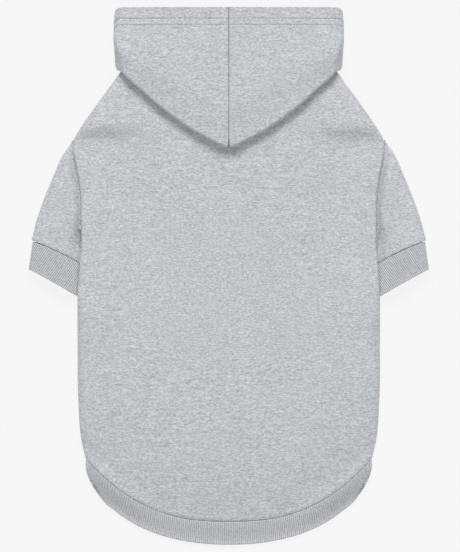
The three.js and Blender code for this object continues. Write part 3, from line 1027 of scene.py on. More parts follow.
def trim(strip: Piece, cloth: Cloth, nape: float, material: Material) -> Piece:
    """Finishes a strip that is sewn to a cloth.

    Args:
        strip: The strip, with no wall yet.
        cloth: Its kind of cloth, which gives it its wall.
        nape: Where the garment's frame lies in the part's.
        material: Its material.

    Returns:
        The strip.
    """
    place_in_frame(strip, nape)
    cloth.thicken(strip)
    strip.data.materials.append(material)
    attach(strip, "root")
    log.info("%s: %d faces", strip.name, len(strip.data.polygons))
    return strip


@dataclass(frozen=True)
class SeamTape:
    """The neatened seam allowance behind a seam that runs round a ring of cloth."""

    width: float = 7.0
    room: float = 0.35
    rows: tuple[float, ...] = (0.5, 0.25, 0.0, -0.25, -0.5)
    cloth: Cloth = Cloth(0.9, levels=0, edge_round=0.0)

    def sew(
        self, name: str, net: Net, wall: float, clear: np.ndarray, nape: float, material: Material
    ) -> Piece:
        """Lays the tape inside a ring, half of it past the ring's first row.

        Args:
            name: The tape's name.
            net: The ring's net, whose first row is the seam.
            wall: The ring's wall.
            clear: How far in the tape lies at each column of the net: 1 is clear of the wall, 0 within it.
            nape: Where the garment's frame lies in the part's.
            material: The tape's cloth.

        Returns:
            The tape.
        """
        first = net.points[0]
        away = first - net.points[2]
        away /= np.linalg.norm(away, axis=1, keepdims=True)
        depth = wall / 2 + self.cloth.wall / 2 + self.room
        middle = first - net.normals[0] * depth * clear[:, None]
        rows = np.array([middle + away * self.width * share for share in self.rows])
        tape = self.cloth.lay(name, Net(rows, net.looks, (len(rows) // 2, net.seen_at[1]), ring=True))
        return trim(tape, self.cloth, nape, material)


@dataclass
class Body:
    """The long back panel and the shorter belly panel under it."""

    cut: BodyCut
    finishes: Finishes
    back_cloth: Cloth = Cloth(2.2)
    belly_cloth: Cloth = Cloth(2.2, levels=1)
    columns: int = 22
    belly_columns: int = 9
    belly_side: float = 28.0
    side_columns: int = 16
    side_gather: float = 1.7
    hem_press: Press = Press(depth=0.4, width=0.9, ridge=0.3, ridge_at=3.0, ridge_width=1.5)
    seed: float = 3.1
    back_flat: Pair = (0.312, 0.4495)
    back_area: float = 0.128
    belly_flat: Pair = (0.312, 0.36)
    belly_area: float = 0.100

    def back_net(self) -> Net:
        """The back panel's net.

        Returns:
            The net, its first row at the neck and its last at the hem.
        """
        rows = [0, 0.03, 0.08, *gather(0.15, 1, 11), *gather(1.06, 2, 15), *gather(2.035, 2.86, 25)]
        rows += [2.89, 2.92, 2.945, 2.965, 2.98, 2.99, 3]
        shares = arch_places(self.columns, self.cut.crown_power)
        points = np.array([[self.cut.back_point(share, along) for share in shares] for along in rows])
        return Net(points, UP, (len(rows) // 2, self.columns))

    def belly_net(self) -> Net:
        """The belly panel's net.

        Returns:
            The net, its first row at the throat and its last at the hem.
        """
        rows = [0, 0.04, *gather(0.12, 1, 8), *gather(1.07, 2, 14), *gather(2.05, 2.9, 18), 2.94, 2.98, 3]
        points = []
        for along in rows:
            out = self.cut.belly_edge(along)[0]
            inner = out - self.belly_side
            half = [inner * i / self.belly_columns for i in range(self.belly_columns)]
            half += gather(inner, out, self.side_columns, self.side_gather)
            right = [self.cut.belly_point(x, along) for x in half]
            left = [point * MIRROR for point in right[:0:-1]]
            points.append(left + right)
        return Net(np.array(points), (0.0, 0.0, -1.0), (len(rows) // 2, len(points[0]) // 2))

    def build(self) -> None:
        """Makes both panels."""
        net = self.back_net()
        back = self.back_cloth.lay("back_panel_cloth", net)
        self.back_cloth.settle(back, self.seed)
        press(back, net.row(-1), self.hem_press)
        place_in_frame(back, self.cut.nape)
        self.back_cloth.thicken(back)
        dress(back, self.finishes.fleece, Slot.FLEECE, self.back_flat, self.back_area)
        belly = self.belly_cloth.lay("belly_panel_cloth", self.belly_net())
        place_in_frame(belly, self.cut.nape)
        self.belly_cloth.thicken(belly)
        dress(belly, self.finishes.fleece, Slot.FLEECE, self.belly_flat, self.belly_area)


@dataclass(frozen=True)
class Heights:
    """How high a laid ring of cloth lies: at its outer and inner fold, on top and below."""

    outer: float
    inner: float
    top: float
    bottom: float


@dataclass
class Sleeve:
    """A short sleeve in the armhole, laid flat and partly under the body, with its ribbed cuff.

    The tip is the armhole's end at the shoulder. The tuck is where the body's side lies over the sleeve, and
    the allowance is the strip of cloth that closes the armhole's seam from within.
    """

    side: Side
    body: BodyCut
    finishes: Finishes
    span: float = 394.4
    length: float = 101.7
    end_width: float = 66.0
    height: float = 13.5
    fold_height: float = 5.0
    cuff_angle: float = 29.2
    cuff_seam_width: float = 62.5
    cuff_edge_width: float = 62.0
    cuff_length: float = 26.0
    cuff_swing: float = 9.8
    cuff_height: float = 11.5
    cuff_flare: float = 0.8
    cuff_top_drop: float = 0.8
    cuff_outer_drop: float = 0.6
    cuff_inner_drop: float = 1.0
    top_round: float = 0.6
    bottom_round: float = 0.35
    tuck_slope: float = 0.5
    tuck_start: float = 1.7
    tuck_run: float = 0.28
    tip_slope: float = 0.3
    tip_share: float = 0.5
    tip_run: float = 0.12
    tip_drop: float = 1.2
    tip_length: float = 32.0
    seam_step: float = 0.5
    inner_drop: float = 0.4
    armhole_press: Press = Press(depth=2.8, width=7.0, ridge=0.0)
    cuff_press: Press = Press(depth=0.2, width=0.8, ridge=0.4, ridge_at=2.4, ridge_width=1.2)
    allowance: Cloth = Cloth(0.9, levels=1, edge_round=0.0)
    allowance_room: float = 0.1
    allowance_reach: float = 2.0
    allowance_sag: float = 1.1
    seam_bow: float = 2.2
    seam_turn: float = -0.04
    seam_open: float = 0.6
    shoulder_bow: Curve = Curve(
        (0.0, 0.0), (0.05, 0.6), (0.1, 2.2), (0.18, 3.4), (0.4, 3.9), (0.6, 3.8), (0.8, 3.1), (0.93, 1.3),
        (1.0, 0.0),
    )
    bow_down: float = 0.4
    rows: tuple[float, ...] = (
        0, 0.012, 0.03, 0.055, 0.09, *gather(0.14, 0.9, 12), 0.93, 0.955, 0.975, 0.99, 1,
    )
    run: int = 22
    cuff_rows: int = 26
    cuff_run: int = 60
    seed: float = 11.7
    rib_pitch: float = 1.95
    rib_lean: float = 13.0
    rib_relief: float = 0.7
    rib_steps: int = 8
    cloth: Cloth = Cloth(2.2)
    cuff_cloth: Cloth = Cloth(3.0, levels=0, edge_round=0.0)
    sleeve_flat: Pair = (0.14, 0.1)
    sleeve_area: float = 0.0115
    cuff_flat: Pair = (0.145, 0.033)
    cuff_area: float = 0.0045

    @property
    def walls(self) -> Walls:
        """The body's walls and gaps, which the sleeve shares."""
        return self.body.walls

    @property
    def to_body(self) -> np.ndarray:
        """The way along the cuff's edge, from the sleeve's outer fold to its inner."""
        slope = math.radians(self.cuff_angle)
        return np.array((-math.cos(slope), -math.sin(slope), 0.0))

    @property
    def out_of_sleeve(self) -> np.ndarray:
        """The way out of the sleeve, through its cuff."""
        slope = math.radians(self.cuff_angle)
        return np.array((math.sin(slope), -math.cos(slope), 0.0))

    @property
    def end(self) -> np.ndarray:
        """The sleeve's outermost point, at the cuff's seam."""
        return np.array((self.walls.half(self.span), -self.body.shoulder_drop - self.length, 0.0))

    def tuck_limit(self, place: np.ndarray, wall: float) -> float:
        """The most that the middle of the upper layer may stand, in the seam and under the body's side.

        Args:
            place: The point, in plan.
            wall: The layer's wall.

        Returns:
            The height.
        """
        body = self.body
        below = -body.armpit - place[1]
        if below < 0:
            along = max(1.0, 2 + below / body.armhole_depth)
        else:
            along = 2 + below / (body.side_length - body.armpit)
        edge = body.back_edge(along)[0]
        outside = max(0.0, place[0] - edge - self.walls.fleece / 2 - self.walls.seam_gap)
        seam = body.seam_height(along) - self.seam_step - wall / 2
        under = body.tuck_height - self.walls.lay_gap - wall / 2
        slope = mix(self.tip_slope, self.tuck_slope, ease((along - 1) / self.tip_share))
        return mix(seam, under, ease((along - self.tuck_start) / self.tuck_run)) + slope * outside

    def ring(
        self, upper: Plan, lower: Plan, heights: Heights, wall: float, run: int
    ) -> list[np.ndarray]:
        """A ring round the laid sleeve: from its outer fold over the top, and back underneath.

        Args:
            upper: The upper layer's plan.
            lower: The lower layer's plan.
            heights: How high the ring lies.
            wall: The cloth's wall.
            run: Steps from fold to fold.

        Returns:
            The ring's points, the first repeated at its end.
        """
        points = []
        for i in range(2 * run + 1):
            angle = math.pi * i / run
            share = (1 - math.cos(angle)) / 2
            rise = abs(math.sin(angle))
            fold = mix(heights.outer, heights.inner, share)
            if i <= run:
                place = upper(share)
                top = mix(fold, heights.top, rise**self.top_round)
                z = min(top, max(fold, self.tuck_limit(place, wall)))
            else:
                place = lower(share)
                z = mix(fold, heights.bottom, rise**self.bottom_round)
            points.append(np.array((place[0], place[1], z)))
        points[-1] = points[0].copy()
        return points

    def cuff_seam(self, share: float, width: float, forward: float) -> np.ndarray:
        """The seam line between sleeve and cuff, in plan.

        Args:
            share: From the outer fold to the inner.
            width: The seam's width.
            forward: How far out of the sleeve the line is moved.

        Returns:
            The point.
        """
        cosine, sine = math.cos(self.seam_turn), math.sin(self.seam_turn)
        x, y, _ = self.to_body
        turned = np.array((x * cosine - y * sine, x * sine + y * cosine, 0.0))
        inset = (self.end_width - width) / 2
        out = forward - self.seam_bow * bow(share)
        return self.end + turned * (inset + width * share) + self.out_of_sleeve * out

    def seam_of(self, panel_edge: Callable[[float], Pair]) -> Plan:
        """The armhole's seam on one layer, moved out from the panel's edge.

        Args:
            panel_edge: The panel's right edge, at a place down the body.

        Returns:
            The seam, at a share of the way from the shoulder tip to the armpit.
        """
        butt = self.walls.seam_gap
        tip = 0.5 * self.walls.fleece + self.walls.seam_gap

        def seam(share: float) -> np.ndarray:
            """The seam's point.

            Args:
                share: The share of the way from the shoulder tip to the armpit.

            Returns:
                The point, seen from above.
            """
            x, y = panel_edge(1 + share)
            out = mix(tip, butt, ease(share / self.tip_run))
            return np.array((x + out, y - self.tip_drop * (1 - share) ** 4, 0.0))

        return seam

    def sleeve_net(self) -> Net:
        """The sleeve's net.

        Returns:
            The net, its first row at the armhole and its last at the cuff.
        """
        back_seam = self.seam_of(self.body.back_edge)
        belly_seam = self.seam_of(self.body.belly_edge)

        def between(start: Plan, s: float) -> Plan:
            """The plan of one layer between the armhole and the cuff.

            Args:
                start: The armhole's seam on that layer.
                s: The share of the way from the armhole to the cuff.

            Returns:
                The line across the layer there.
            """

            def plan(share: float) -> np.ndarray:
                """A point of that line.

                Args:
                    share: The share of the way across.

                Returns:
                    The point, seen from above.
                """
                straight = mix(start(share), self.cuff_seam(share, self.end_width, 0.0), s)
                out = self.shoulder_bow.at(s) * (1 - share) ** 2
                return straight + np.array((out, self.bow_down * out, 0.0))

            return plan

        wall = self.walls.fleece
        outer = self.body.side_height - wall / 2 - self.walls.seam_gap
        inner = self.fold_height - self.inner_drop
        rows = []
        for s in self.rows:
            heights = Heights(mix(outer, self.fold_height, s), inner, self.height, wall / 2)
            rows.append(self.ring(between(back_seam, s), between(belly_seam, s), heights, wall, self.run))
        net = Net(np.array(rows), UP, (len(rows) // 2, self.run // 2), ring=True)
        return net.mirrored(self.side)

    def cuff_net(self) -> tuple[Net, int]:
        """The cuff's net and how many wales go round it.

        Returns:
            The net, from seam to lip, and the number of wales.
        """
        start = self.seam_open
        rings = []
        for s in gather(0, 1, self.cuff_rows):
            width = mix(self.cuff_seam_width, self.cuff_edge_width, s**self.cuff_flare)

            def plan(share: float, s: float = s, width: float = width) -> np.ndarray:
                """A point of a ring of the cuff.

                Args:
                    share: The share of the way across.
                    s: The share of the way from the seam to the lip.
                    width: The ring's width.

                Returns:
                    The point, seen from above.
                """
                middle = self.end + self.to_body * (self.end_width / 2)
                lower = middle + self.to_body * ((share - 0.5) * width + self.cuff_swing)
                lower = lower + self.out_of_sleeve * (self.cuff_length + start)
                return mix(self.cuff_seam(share, width, start), lower, s)

            heights = Heights(
                outer=mix(self.fold_height, self.fold_height - self.cuff_outer_drop, s),
                inner=self.fold_height - mix(self.inner_drop, self.cuff_inner_drop, s),
                top=mix(self.height - self.cuff_top_drop, self.cuff_height, ease(s)),
                bottom=self.walls.rib / 2,
            )
            rings.append(self.ring(plan, plan, heights, self.walls.rib, self.cuff_run))
        points, wales = spread_wales(np.array(rings), self.rib_pitch, self.rib_steps, self.rib_lean)
        net = Net(points, UP, (len(rings) // 2, points.shape[1] // 4), ring=True)
        return net.mirrored(self.side), wales

    def close_armhole(self, net: Net, sunk: np.ndarray) -> Piece:
        """Lays the seam allowance that joins the sleeve's upper layer to the body's edge from within.

        Args:
            net: The sleeve's net, whose first row is the armhole.
            sunk: How fully the seam sinks at each column of the net.

        Returns:
            The strip.
        """
        low = self.walls.fleece / 2 + self.allowance.wall / 2 + self.allowance_room
        within, joined, outside = [], [], []
        for i in range(2, self.run - 1):
            angle = math.pi * i / self.run
            along = 1 + (1 - math.cos(angle)) / 2
            x, y = self.body.back_edge(along)
            reach = self.allowance_reach * math.sin(angle)
            inner_x = self.side.value * (x - self.allowance_reach)
            inner = np.array((inner_x, y, self.body.seam_height(along) - low))
            drop = low + self.armhole_press.depth * sunk[i]
            outer = net.points[0, i] + np.array((self.side.value * reach, 0.0, -drop))
            within.append(inner)
            joined.append((inner + outer) / 2 - np.array((0.0, 0.0, self.allowance_sag * sunk[i])))
            outside.append(outer)
        seam = Net(np.array([within, joined, outside]), UP, (1, len(within) // 2))
        strip = self.allowance.lay(f"armhole_{self.side.word}_seam", seam)
        return trim(strip, self.allowance, self.body.nape, self.finishes.fleece)

    def build(self) -> None:
        """Makes the sleeve and its cuff."""
        net = self.sleeve_net()
        sleeve = self.cloth.lay(f"sleeve_{self.side.word}_cloth", net)
        self.cloth.settle(sleeve, self.seed + self.side.value)
        press(sleeve, net.row(-1), self.cuff_press)
        tip = net.points[0, 0]

        def past_tip(places: np.ndarray) -> np.ndarray:
            """How fully the armhole's seam sinks: not at all at the shoulder's tip."""
            return np.clip(np.linalg.norm(places - tip, axis=1) / self.tip_length, 0.0, 1.0)

        press(sleeve, net.row(0)[: self.run + 1], self.armhole_press, past_tip)
        place_in_frame(sleeve, self.body.nape)
        self.cloth.thicken(sleeve)
        joint = self.close_armhole(net, past_tip(net.points[0]))
        dress(sleeve, self.finishes.fleece, Slot.FLEECE, self.sleeve_flat, self.sleeve_area)
        net, wales = self.cuff_net()
        cuff = rib_piece(f"cuff_{self.side.word}_cloth", net, wales, self.cuff_cloth, self.rib_relief)
        place_in_frame(cuff, self.body.nape)
        name = f"cuff_{self.side.word}_seam"
        clear = np.ones(net.points.shape[1])
        tape = SeamTape().sew(name, net, self.walls.rib, clear, self.body.nape, self.finishes.fleece)
        dress(cuff, self.finishes.rib, Slot.RIB, self.cuff_flat, self.cuff_area)


def spread_wales(
    rings: np.ndarray, pitch: float, steps: int, lean: float = 0.0
) -> tuple[np.ndarray, int]:
    """Spreads a rib's wales evenly round its rings.

    Args:
        rings: Rings of points, the first point of each repeated at its end.
        pitch: About how wide a wale is.
        steps: Columns for each wale.
        lean: How far back round the ring each wale runs from the first ring to the last.

    Returns:
        The rings with their new points, and how many wales go round.
    """
    middle = rings[len(rings) // 2]
    run = np.concatenate(([0.0], np.cumsum(np.linalg.norm(np.diff(middle, axis=0), axis=1))))
    wales = int(round(run[-1] / pitch))
    even = np.linspace(0.0, run[-1], wales * steps + 1)
    spread = []
    for ring, share in zip(rings, np.linspace(0.0, 1.0, len(rings))):
        places = (even - lean * share) % run[-1]
        places[-1] = places[0]
        spread.append([np.interp(places, run, ring[:, axis]) for axis in range(3)])
    return np.array(spread).transpose(0, 2, 1), wales


def rib_piece(name: str, net: Net, wales: int, cloth: Cloth, relief: float) -> Piece:
    """A ribbed ring with its wales standing up from the cloth.

    Args:
        name: The piece's name.
        net: Its net, with even steps round it.
        wales: How many wales go round.
        cloth: Its cloth.
        relief: How high the wales stand over the valleys.

    Returns:
        The finished ring.
    """
    rows, columns = net.points.shape[:2]
    piece = cloth.lay(name, net)
    mesh = piece.data
    length = np.linalg.norm(np.diff(net.points[:, columns // 4], axis=0), axis=1).sum()
    uv = np.empty(len(mesh.loops) * 2, dtype=np.float32)
    mesh.uv_layers.active.data.foreach_get("uv", uv)
    uv = uv.reshape(-1, 2) * np.array((wales, length), dtype=np.float32)
    mesh.uv_layers.active.data.foreach_set("uv", uv.ravel())
    cloth.thicken(piece)
    row, column = np.empty((2, len(mesh.vertices)), dtype=np.float32)
    mesh.attributes["net_column"].data.foreach_get("value", column)
    mesh.attributes["net_row"].data.foreach_get("value", row)
    wave = np.cos(2 * np.pi * wales * column / (columns - 1))
    ends = np.minimum(row, rows - 1 - row) / 2.0
    push(piece, relief / 2 * (wave - 1) * np.clip(END_RELIEF + ends, 0.0, 1.0))
    return piece


@dataclass
class HemBand:
    """The ribbed band round the lower opening: down the long back, and up to the short belly.

    The seam stands open by one gap in the middle and another at the side.
    """

    body: BodyCut
    finishes: Finishes
    belly_band: float = 24.0
    edge_power: float = 2.15
    deep_from: float = 0.29
    side_in: float = 6.0
    seam_open: Pair = (0.6, 1.2)
    side_bulge: float = 2.2
    drop_rate: float = 1.15
    lip_drop: float = 1.4
    curl_from: float = 0.97
    corner_full: float = 1.7
    corner_at: float = 0.92
    corner_width: float = 0.05
    rib_pitch: float = 2.15
    rib_relief: float = 0.7
    rib_steps: int = 6
    rows: int = 16
    back_turns: int = 90
    belly_turns: int = 60
    belly_power: float = 4.0
    fold_share: float = 0.03
    cloth: Cloth = Cloth(3.0, levels=0, edge_round=0.0)
    flat: Pair = (0.66, 0.03)
    area: float = 0.0165

    def lay_down(
        self, seam: np.ndarray, lip: np.ndarray, rest: float, s: float, across: float
    ) -> np.ndarray:
        """A point between the seam that the band hangs from and its lower lip.

        Args:
            seam: The seam's point.
            lip: The lip's point, in plan.
            rest: The height that the lip rests at.
            s: The share of the way down.
            across: The share of the way out from the middle.

        Returns:
            The point.
        """
        away = (lip - seam) * np.array((1.0, 1.0, 0.0))
        away /= np.linalg.norm(away)
        start = seam + away * mix(*self.seam_open, across**8)
        start[2] = max(self.body.walls.rib / 2, seam[2])
        point = mix(start, lip, s)
        bulge = self.side_bulge * bow(s) * across**10
        z = mix(start[2], rest, ease(s * self.drop_rate))
        return np.array((point[0] + math.copysign(bulge, lip[0]), point[1], z))

    def ring(self, s: float) -> list[np.ndarray]:
        """A ring of the band, a share s of the way down.

        Args:
            s: 0 at the seam and 1 at the lip.

        Returns:
            The ring's points, the first repeated at its end.
        """
        body = self.body
        rib = body.walls.rib
        half = body.walls.half(body.chest_width) * body.side.values[-1]
        edge_half = half - self.side_in
        edge_depth = body.back_length + body.band_width - body.side_length
        points = []
        for across in arch_places(self.back_turns, body.crown_power):
            x = edge_half * across
            down = math.sqrt(max(0.0, 1 - abs(x / half) ** self.edge_power))
            depth = mix(body.band_width, edge_depth, clamp((down - self.deep_from) / (1 - self.deep_from)))
            from_corner = (abs(across) - self.corner_at) / self.corner_width
            depth += self.corner_full * math.exp(-(from_corner**2))
            lip = np.array((x, -body.side_length - depth, 0.0))
            rest = rib / 2 + (body.side_height - self.lip_drop - rib / 2) * abs(across) ** 14
            points.append(self.lay_down(body.back_point(across, 3), lip, rest, s, abs(across)))
        for across in arch_places(self.belly_turns, self.belly_power)[-2:0:-1]:
            row = -mix(body.belly_length, body.side_length, across**2)
            z = body.walls.curl(across, self.curl_from, body.side_height)
            seam = np.array((half * across, row, z))
            lip = np.array((edge_half * across, row - mix(self.belly_band, body.band_width, across**2), 0.0))
            points.append(self.lay_down(seam, lip, rib / 2, s, abs(across)))
        points.append(points[0].copy())
        return points

    def build(self) -> None:
        """Makes the band."""
        rings = np.array([self.ring(s) for s in gather(0, 1, self.rows)])
        points, wales = spread_wales(rings, self.rib_pitch, self.rib_steps)
        net = Net(points, UP, (1, points.shape[1] // 4), ring=True)
        band = rib_piece("hem_band_cloth", net, wales, self.cloth, self.rib_relief)
        place_in_frame(band, self.body.nape)
        shares = np.linspace(0.0, 1.0, points.shape[1])
        fold = shares[points[0][:, 0].argmax()]
        from_fold = np.minimum(np.abs(shares - fold), np.minimum(shares, 1 - shares))
        clear = np.clip(from_fold / self.fold_share, 0.0, 1.0)
        body = self.body
        tape = SeamTape().sew("hem_seam", net, body.walls.rib, clear, body.nape, self.finishes.fleece)
        dress(band, self.finishes.rib, Slot.RIB, self.flat, self.area)


@dataclass
class Hood:
    """One half of the hood: turned over at the collar, down the back to its fold, and up over the top.

    Room at the neck and throat is given for the middle, with what the side adds. Rows are counted in from
    the opening's edge, in millimetres.
    """

    side: Side
    body: BodyCut
    finishes: Finishes
    stitching: Stitching
    width: float = 230.0
    rise: float = 67.4
    drop: float = 73.0
    side_height: float = 6.2
    fold_radius: float = 1.9
    fold_rise: float = 4.2
    corner_radius: float = 6.0
    collar_roll: float = 8.0
    collar_side: float = 3.0
    collar_roll_radius: float = 2.4
    side_radius: float = 0.8
    side_lay: float = 1.2
    neck_room: Pair = (0.35, 0.9)
    throat_room: Pair = (0.2, 0.6)
    throat_curl: float = 0.96
    under_room: float = 3.0
    rise_rate: float = 3.0
    spread_rate: float = 1.6
    edge_from: float = 0.25
    side_line_share: float = 0.75
    pouch_depth: float = 9.6
    edge_height: float = 31.5
    throat_overlap: float = 12.0
    hidden_share: float = 0.12
    seam_open: float = 1.8
    seam_sunk: float = 1.1
    seam_cloth: Cloth = Cloth(0.8, levels=0, edge_round=0.0)
    needle_rows: Pair = (11.3, 17.8)
    turn: int = 7
    under: tuple[float, ...] = (0.02, 0.08, 0.16, 0.26, 0.36, 0.47, 0.58, 0.69, 0.8)
    top_steps: int = 16
    needle_steps: tuple[float, ...] = (-1.6, -0.75, 0.0, 0.75, 1.6)
    edge_rows: tuple[float, ...] = (6.5, 3.5, 1.6, 0.6, 0.0)
    inner_row: float = 4.0
    halvings: int = 30
    seed: float = 7.3
    seed_step: float = 5.0
    flat: Pair = (0.13, 0.25)
    area: float = 0.0234
    fold: Curve = Curve(
        (0.0, 1.0), (0.045, 0.982), (0.16, 0.887), (0.302, 0.771), (0.42, 0.65), (0.526, 0.53), (0.64, 0.39),
        (0.75, 0.225), (0.85, 0.1), (0.93, -0.03), (0.98, -0.17),
    )
    outline: Curve = Curve(
        (-0.1, 0.93), (0.05, 0.985), (0.18, 1.017), (0.36, 1.012), (0.6, 1.005), (0.85, 1.0), (1.0, 0.992),
    )
    cloth: Cloth = Cloth(2.2)
    seam_press: Press = Press(depth=0.8, width=0.5, ridge=0.3, ridge_at=1.9, ridge_width=0.8)
    needle_press: Press = Press(depth=0.7, width=0.65, ridge=0.1, ridge_at=1.7, ridge_width=0.6)
    stitch_sunk: float = 0.6

    @property
    def half(self) -> float:
        """From the hood's middle to the middle of its side's wall."""
        return self.body.walls.half(self.width)

    def side_at(self, y: float) -> float:
        """How far out the hood's side lies at that height up the garment."""
        return self.half * self.outline.at(y / self.rise)

    def fold_at(self, x: float) -> float:
        """Where the lower fold lies at a place across it."""
        return self.body.walls.fleece / 2 - self.drop * self.fold.at(abs(x) / self.half)

    def fold_along(self, across: float) -> float:
        """How far along the back panel the lower fold crosses a line of it.

        Args:
            across: The line's share of the panel's width.

        Returns:
            The place down the body.
        """
        low, high = 0.0, 1.3
        for _ in range(self.halvings):
            middle = (low + high) / 2
            point = self.body.back_point(across, middle)
            if point[1] > self.fold_at(point[0]):
                low = middle
            else:
                high = middle
        return low

    def opening_at(self, across: float) -> Pair:
        """The opening's edge in plan, rounded at its corner.

        Args:
            across: 0 in the middle and 1 at the side.

        Returns:
            How far out and how far up it lies.
        """
        half = self.side_at(self.rise)
        x = half * across
        into = max(0.0, x - (half - self.corner_radius))
        return x, self.rise - self.corner_radius + math.sqrt(max(0.0, self.corner_radius**2 - into**2))

    @property
    def rows_from_edge(self) -> list[float]:
        """How far in from the opening's edge the last points of each line lie, from the inside out.

        Returns:
            The distances in millimetres, the largest first.
        """
        near, far = self.needle_rows
        beside_far = [far - step for step in self.needle_steps]
        beside_near = [near - step for step in self.needle_steps]
        return [far + self.inner_row, *beside_far, (near + far) / 2, *beside_near, *self.edge_rows]

    def steps(self, length: float, start: float) -> list[float]:
        """Shares of a line on top of the hood, with rows that keep their distance from the opening's edge.

        Args:
            length: The line's whole length.
            start: The share that the line's top begins at.

        Returns:
            The shares, from just above the start to 1.
        """
        rows = self.rows_from_edge
        scale = min(1.0, self.side_line_share * length * (1 - start) / rows[0])
        near = [1 - scale * row / length for row in rows]
        free = [mix(start, near[0], (i + 1) / (self.top_steps + 1)) for i in range(self.top_steps)]
        return free + near

    def line(self, across: float, gap: float) -> list[np.ndarray]:
        """A line of the hood from the neck's seam to the opening's edge.

        Args:
            across: 0 in the middle of the back and 1 at the side.
            gap: How far the line is moved off the middle seam.

        Returns:
            The line's points.
        """
        body = self.body
        walls = body.walls
        neck = body.back_point(across, 0.0)
        fold_place = self.fold_along(across)
        fold = body.back_point(across, fold_place)
        taper = 1 - across**4
        roll = self.collar_roll * taper + self.collar_side
        layer = walls.fleece + walls.lay_gap
        lay = layer * (1 + self.side_lay * across**12)
        radius = max(self.collar_roll_radius * mix(self.side_radius, 1, taper), layer / 2)
        x0 = neck[0] + gap
        start = neck[1] + walls.seam_gap + self.neck_room[0] + self.neck_room[1] * across**6
        points = [np.array((x0, y, neck[2])) for y in (start, start + (roll - radius) / 2)]
        for angle in half_turn(self.turn):
            forward = roll - radius + radius * math.sin(angle)
            points.append(np.array((x0, start + forward, neck[2] + radius * (1 - math.cos(angle)))))
        for t in self.under:
            p = body.back_point(across, fold_place * t)
            y = min(p[1], mix(neck[1], fold[1] + self.fold_radius, t) + self.under_room)
            z = mix(neck[2] + 2 * radius, p[2] + lay, ease(t * self.rise_rate))
            points.append(np.array((p[0] + gap, y, max(z, p[2] + lay))))
        middle = fold[2] + lay + self.fold_rise
        for angle in half_turn(self.turn):
            y = fold[1] + self.fold_radius * (1 - math.sin(angle))
            points.append(np.array((fold[0] + gap, y, middle - self.fold_rise * math.cos(angle))))
        open_x, open_y = self.opening_at(across)
        bottom = fold[1] + self.fold_radius
        for t in self.steps(open_y - bottom, 0.0):
            y = mix(bottom, open_y, t)
            out = max(open_x, across * self.side_at(max(y, 0.0)))
            x = mix(fold[0], out, ease(t * self.spread_rate))
            points.append(np.array((x + gap, y, self.top_height(across, middle + self.fold_rise, t))))
        return points

    def top_height(self, across: float, fold_top: float, t: float) -> float:
        """The height of the upper layer: full over the pouch, and lower again at the opening's edge.

        Args:
            across: 0 in the middle and 1 at the side.
            fold_top: The height over the lower fold.
            t: The share of the way from the fold to the edge.

        Returns:
            The height.
        """
        full = self.pouch_depth + self.body.walls.fleece - 2 * self.fold_rise
        pouch = fold_top + full * ease(t * self.rise_rate)
        edge = mix(self.side_height, self.edge_height, arch(abs(across), self.body.crown_power))
        return mix(pouch, edge, ease((t - self.edge_from) / (1 - self.edge_from)))

    @property
    def hidden(self) -> int:
        """How many points of a line lie before its top."""
        return 2 + 2 * (self.turn + 1) + len(self.under)

    def side_shares(self, length: float) -> list[float]:
        """Shares along the side fold and the throat's lines, in step with the lines on top."""
        gathered = [self.hidden_share * i / self.hidden for i in range(self.hidden)]
        return gathered + self.steps(length, self.hidden_share)

    def side_line(self) -> list[np.ndarray]:
        """The hood's fold at its side, from the neck to the opening's corner.

        Returns:
            The line's points.
        """
        body = self.body
        neck_x, neck_y = body.back_edge(0.0)
        corner_y = self.opening_at(1.0)[1]
        low = neck_y + body.walls.seam_gap + body.walls.fleece / 2
        points = []
        for t in self.side_shares(corner_y - low):
            y = mix(low, corner_y, t)
            x = max(neck_x + body.walls.seam_gap, self.side_at(y))
            z = mix(body.side_height, self.side_height, ease(t * self.rise_rate))
            points.append(np.array((x, y, z)))
        return points

    def throat_line(self, across: float, gap: float) -> list[np.ndarray]:
        """A line of the hood's front, which lies on the surface.

        Args:
            across: 0 in the middle and 1 at the side.
            gap: How far the line is moved off the middle seam.

        Returns:
            The line's points.
        """
        body = self.body
        neck_x = body.walls.half(body.neck_width) * across
        neck_y = mix(-body.throat_drop, body.neck_rise, across**body.neck_bend)
        neck_y += body.walls.seam_gap + self.throat_room[0] + self.throat_room[1] * across**8
        open_x, open_y = self.opening_at(across)
        lip = mix(-body.throat_drop + self.throat_overlap, open_y, across**1.5)
        z = body.walls.curl(across, self.throat_curl, body.side_height)
        points = []
        for t in self.side_shares(lip - neck_y):
            y = mix(neck_y, lip, t)
            x = mix(neck_x, min(open_x, self.side_at(y) * across), ease(t * self.spread_rate))
            points.append(np.array((x + gap, y, z)))
        return points

    def net(self) -> Net:
        """The net of this half of the hood.

        Returns:
            The net, a row for each line: over the top, at the side fold, and across the throat.
        """
        half_gap = self.seam_open / 2
        top = [0, 0.008, 0.02, 0.04, 0.07, *gather(0.11, 0.95, 17, 1.35), 0.97, 0.985, 0.995]
        throat = [0.995, 0.985, 0.965, 0.93, 0.86, 0.75, 0.62, 0.5, 0.37, 0.25, 0.12, 0.04, 0.0]
        lines = [self.line(across, half_gap * (1 - across)) for across in top]
        lines.append(self.side_line())
        lines += [self.throat_line(across, half_gap * (1 - across)) for across in throat]
        points = np.array(lines)
        seen_at = (5, points.shape[1] - 20)
        return Net(points, UP, seen_at).mirrored(self.side)

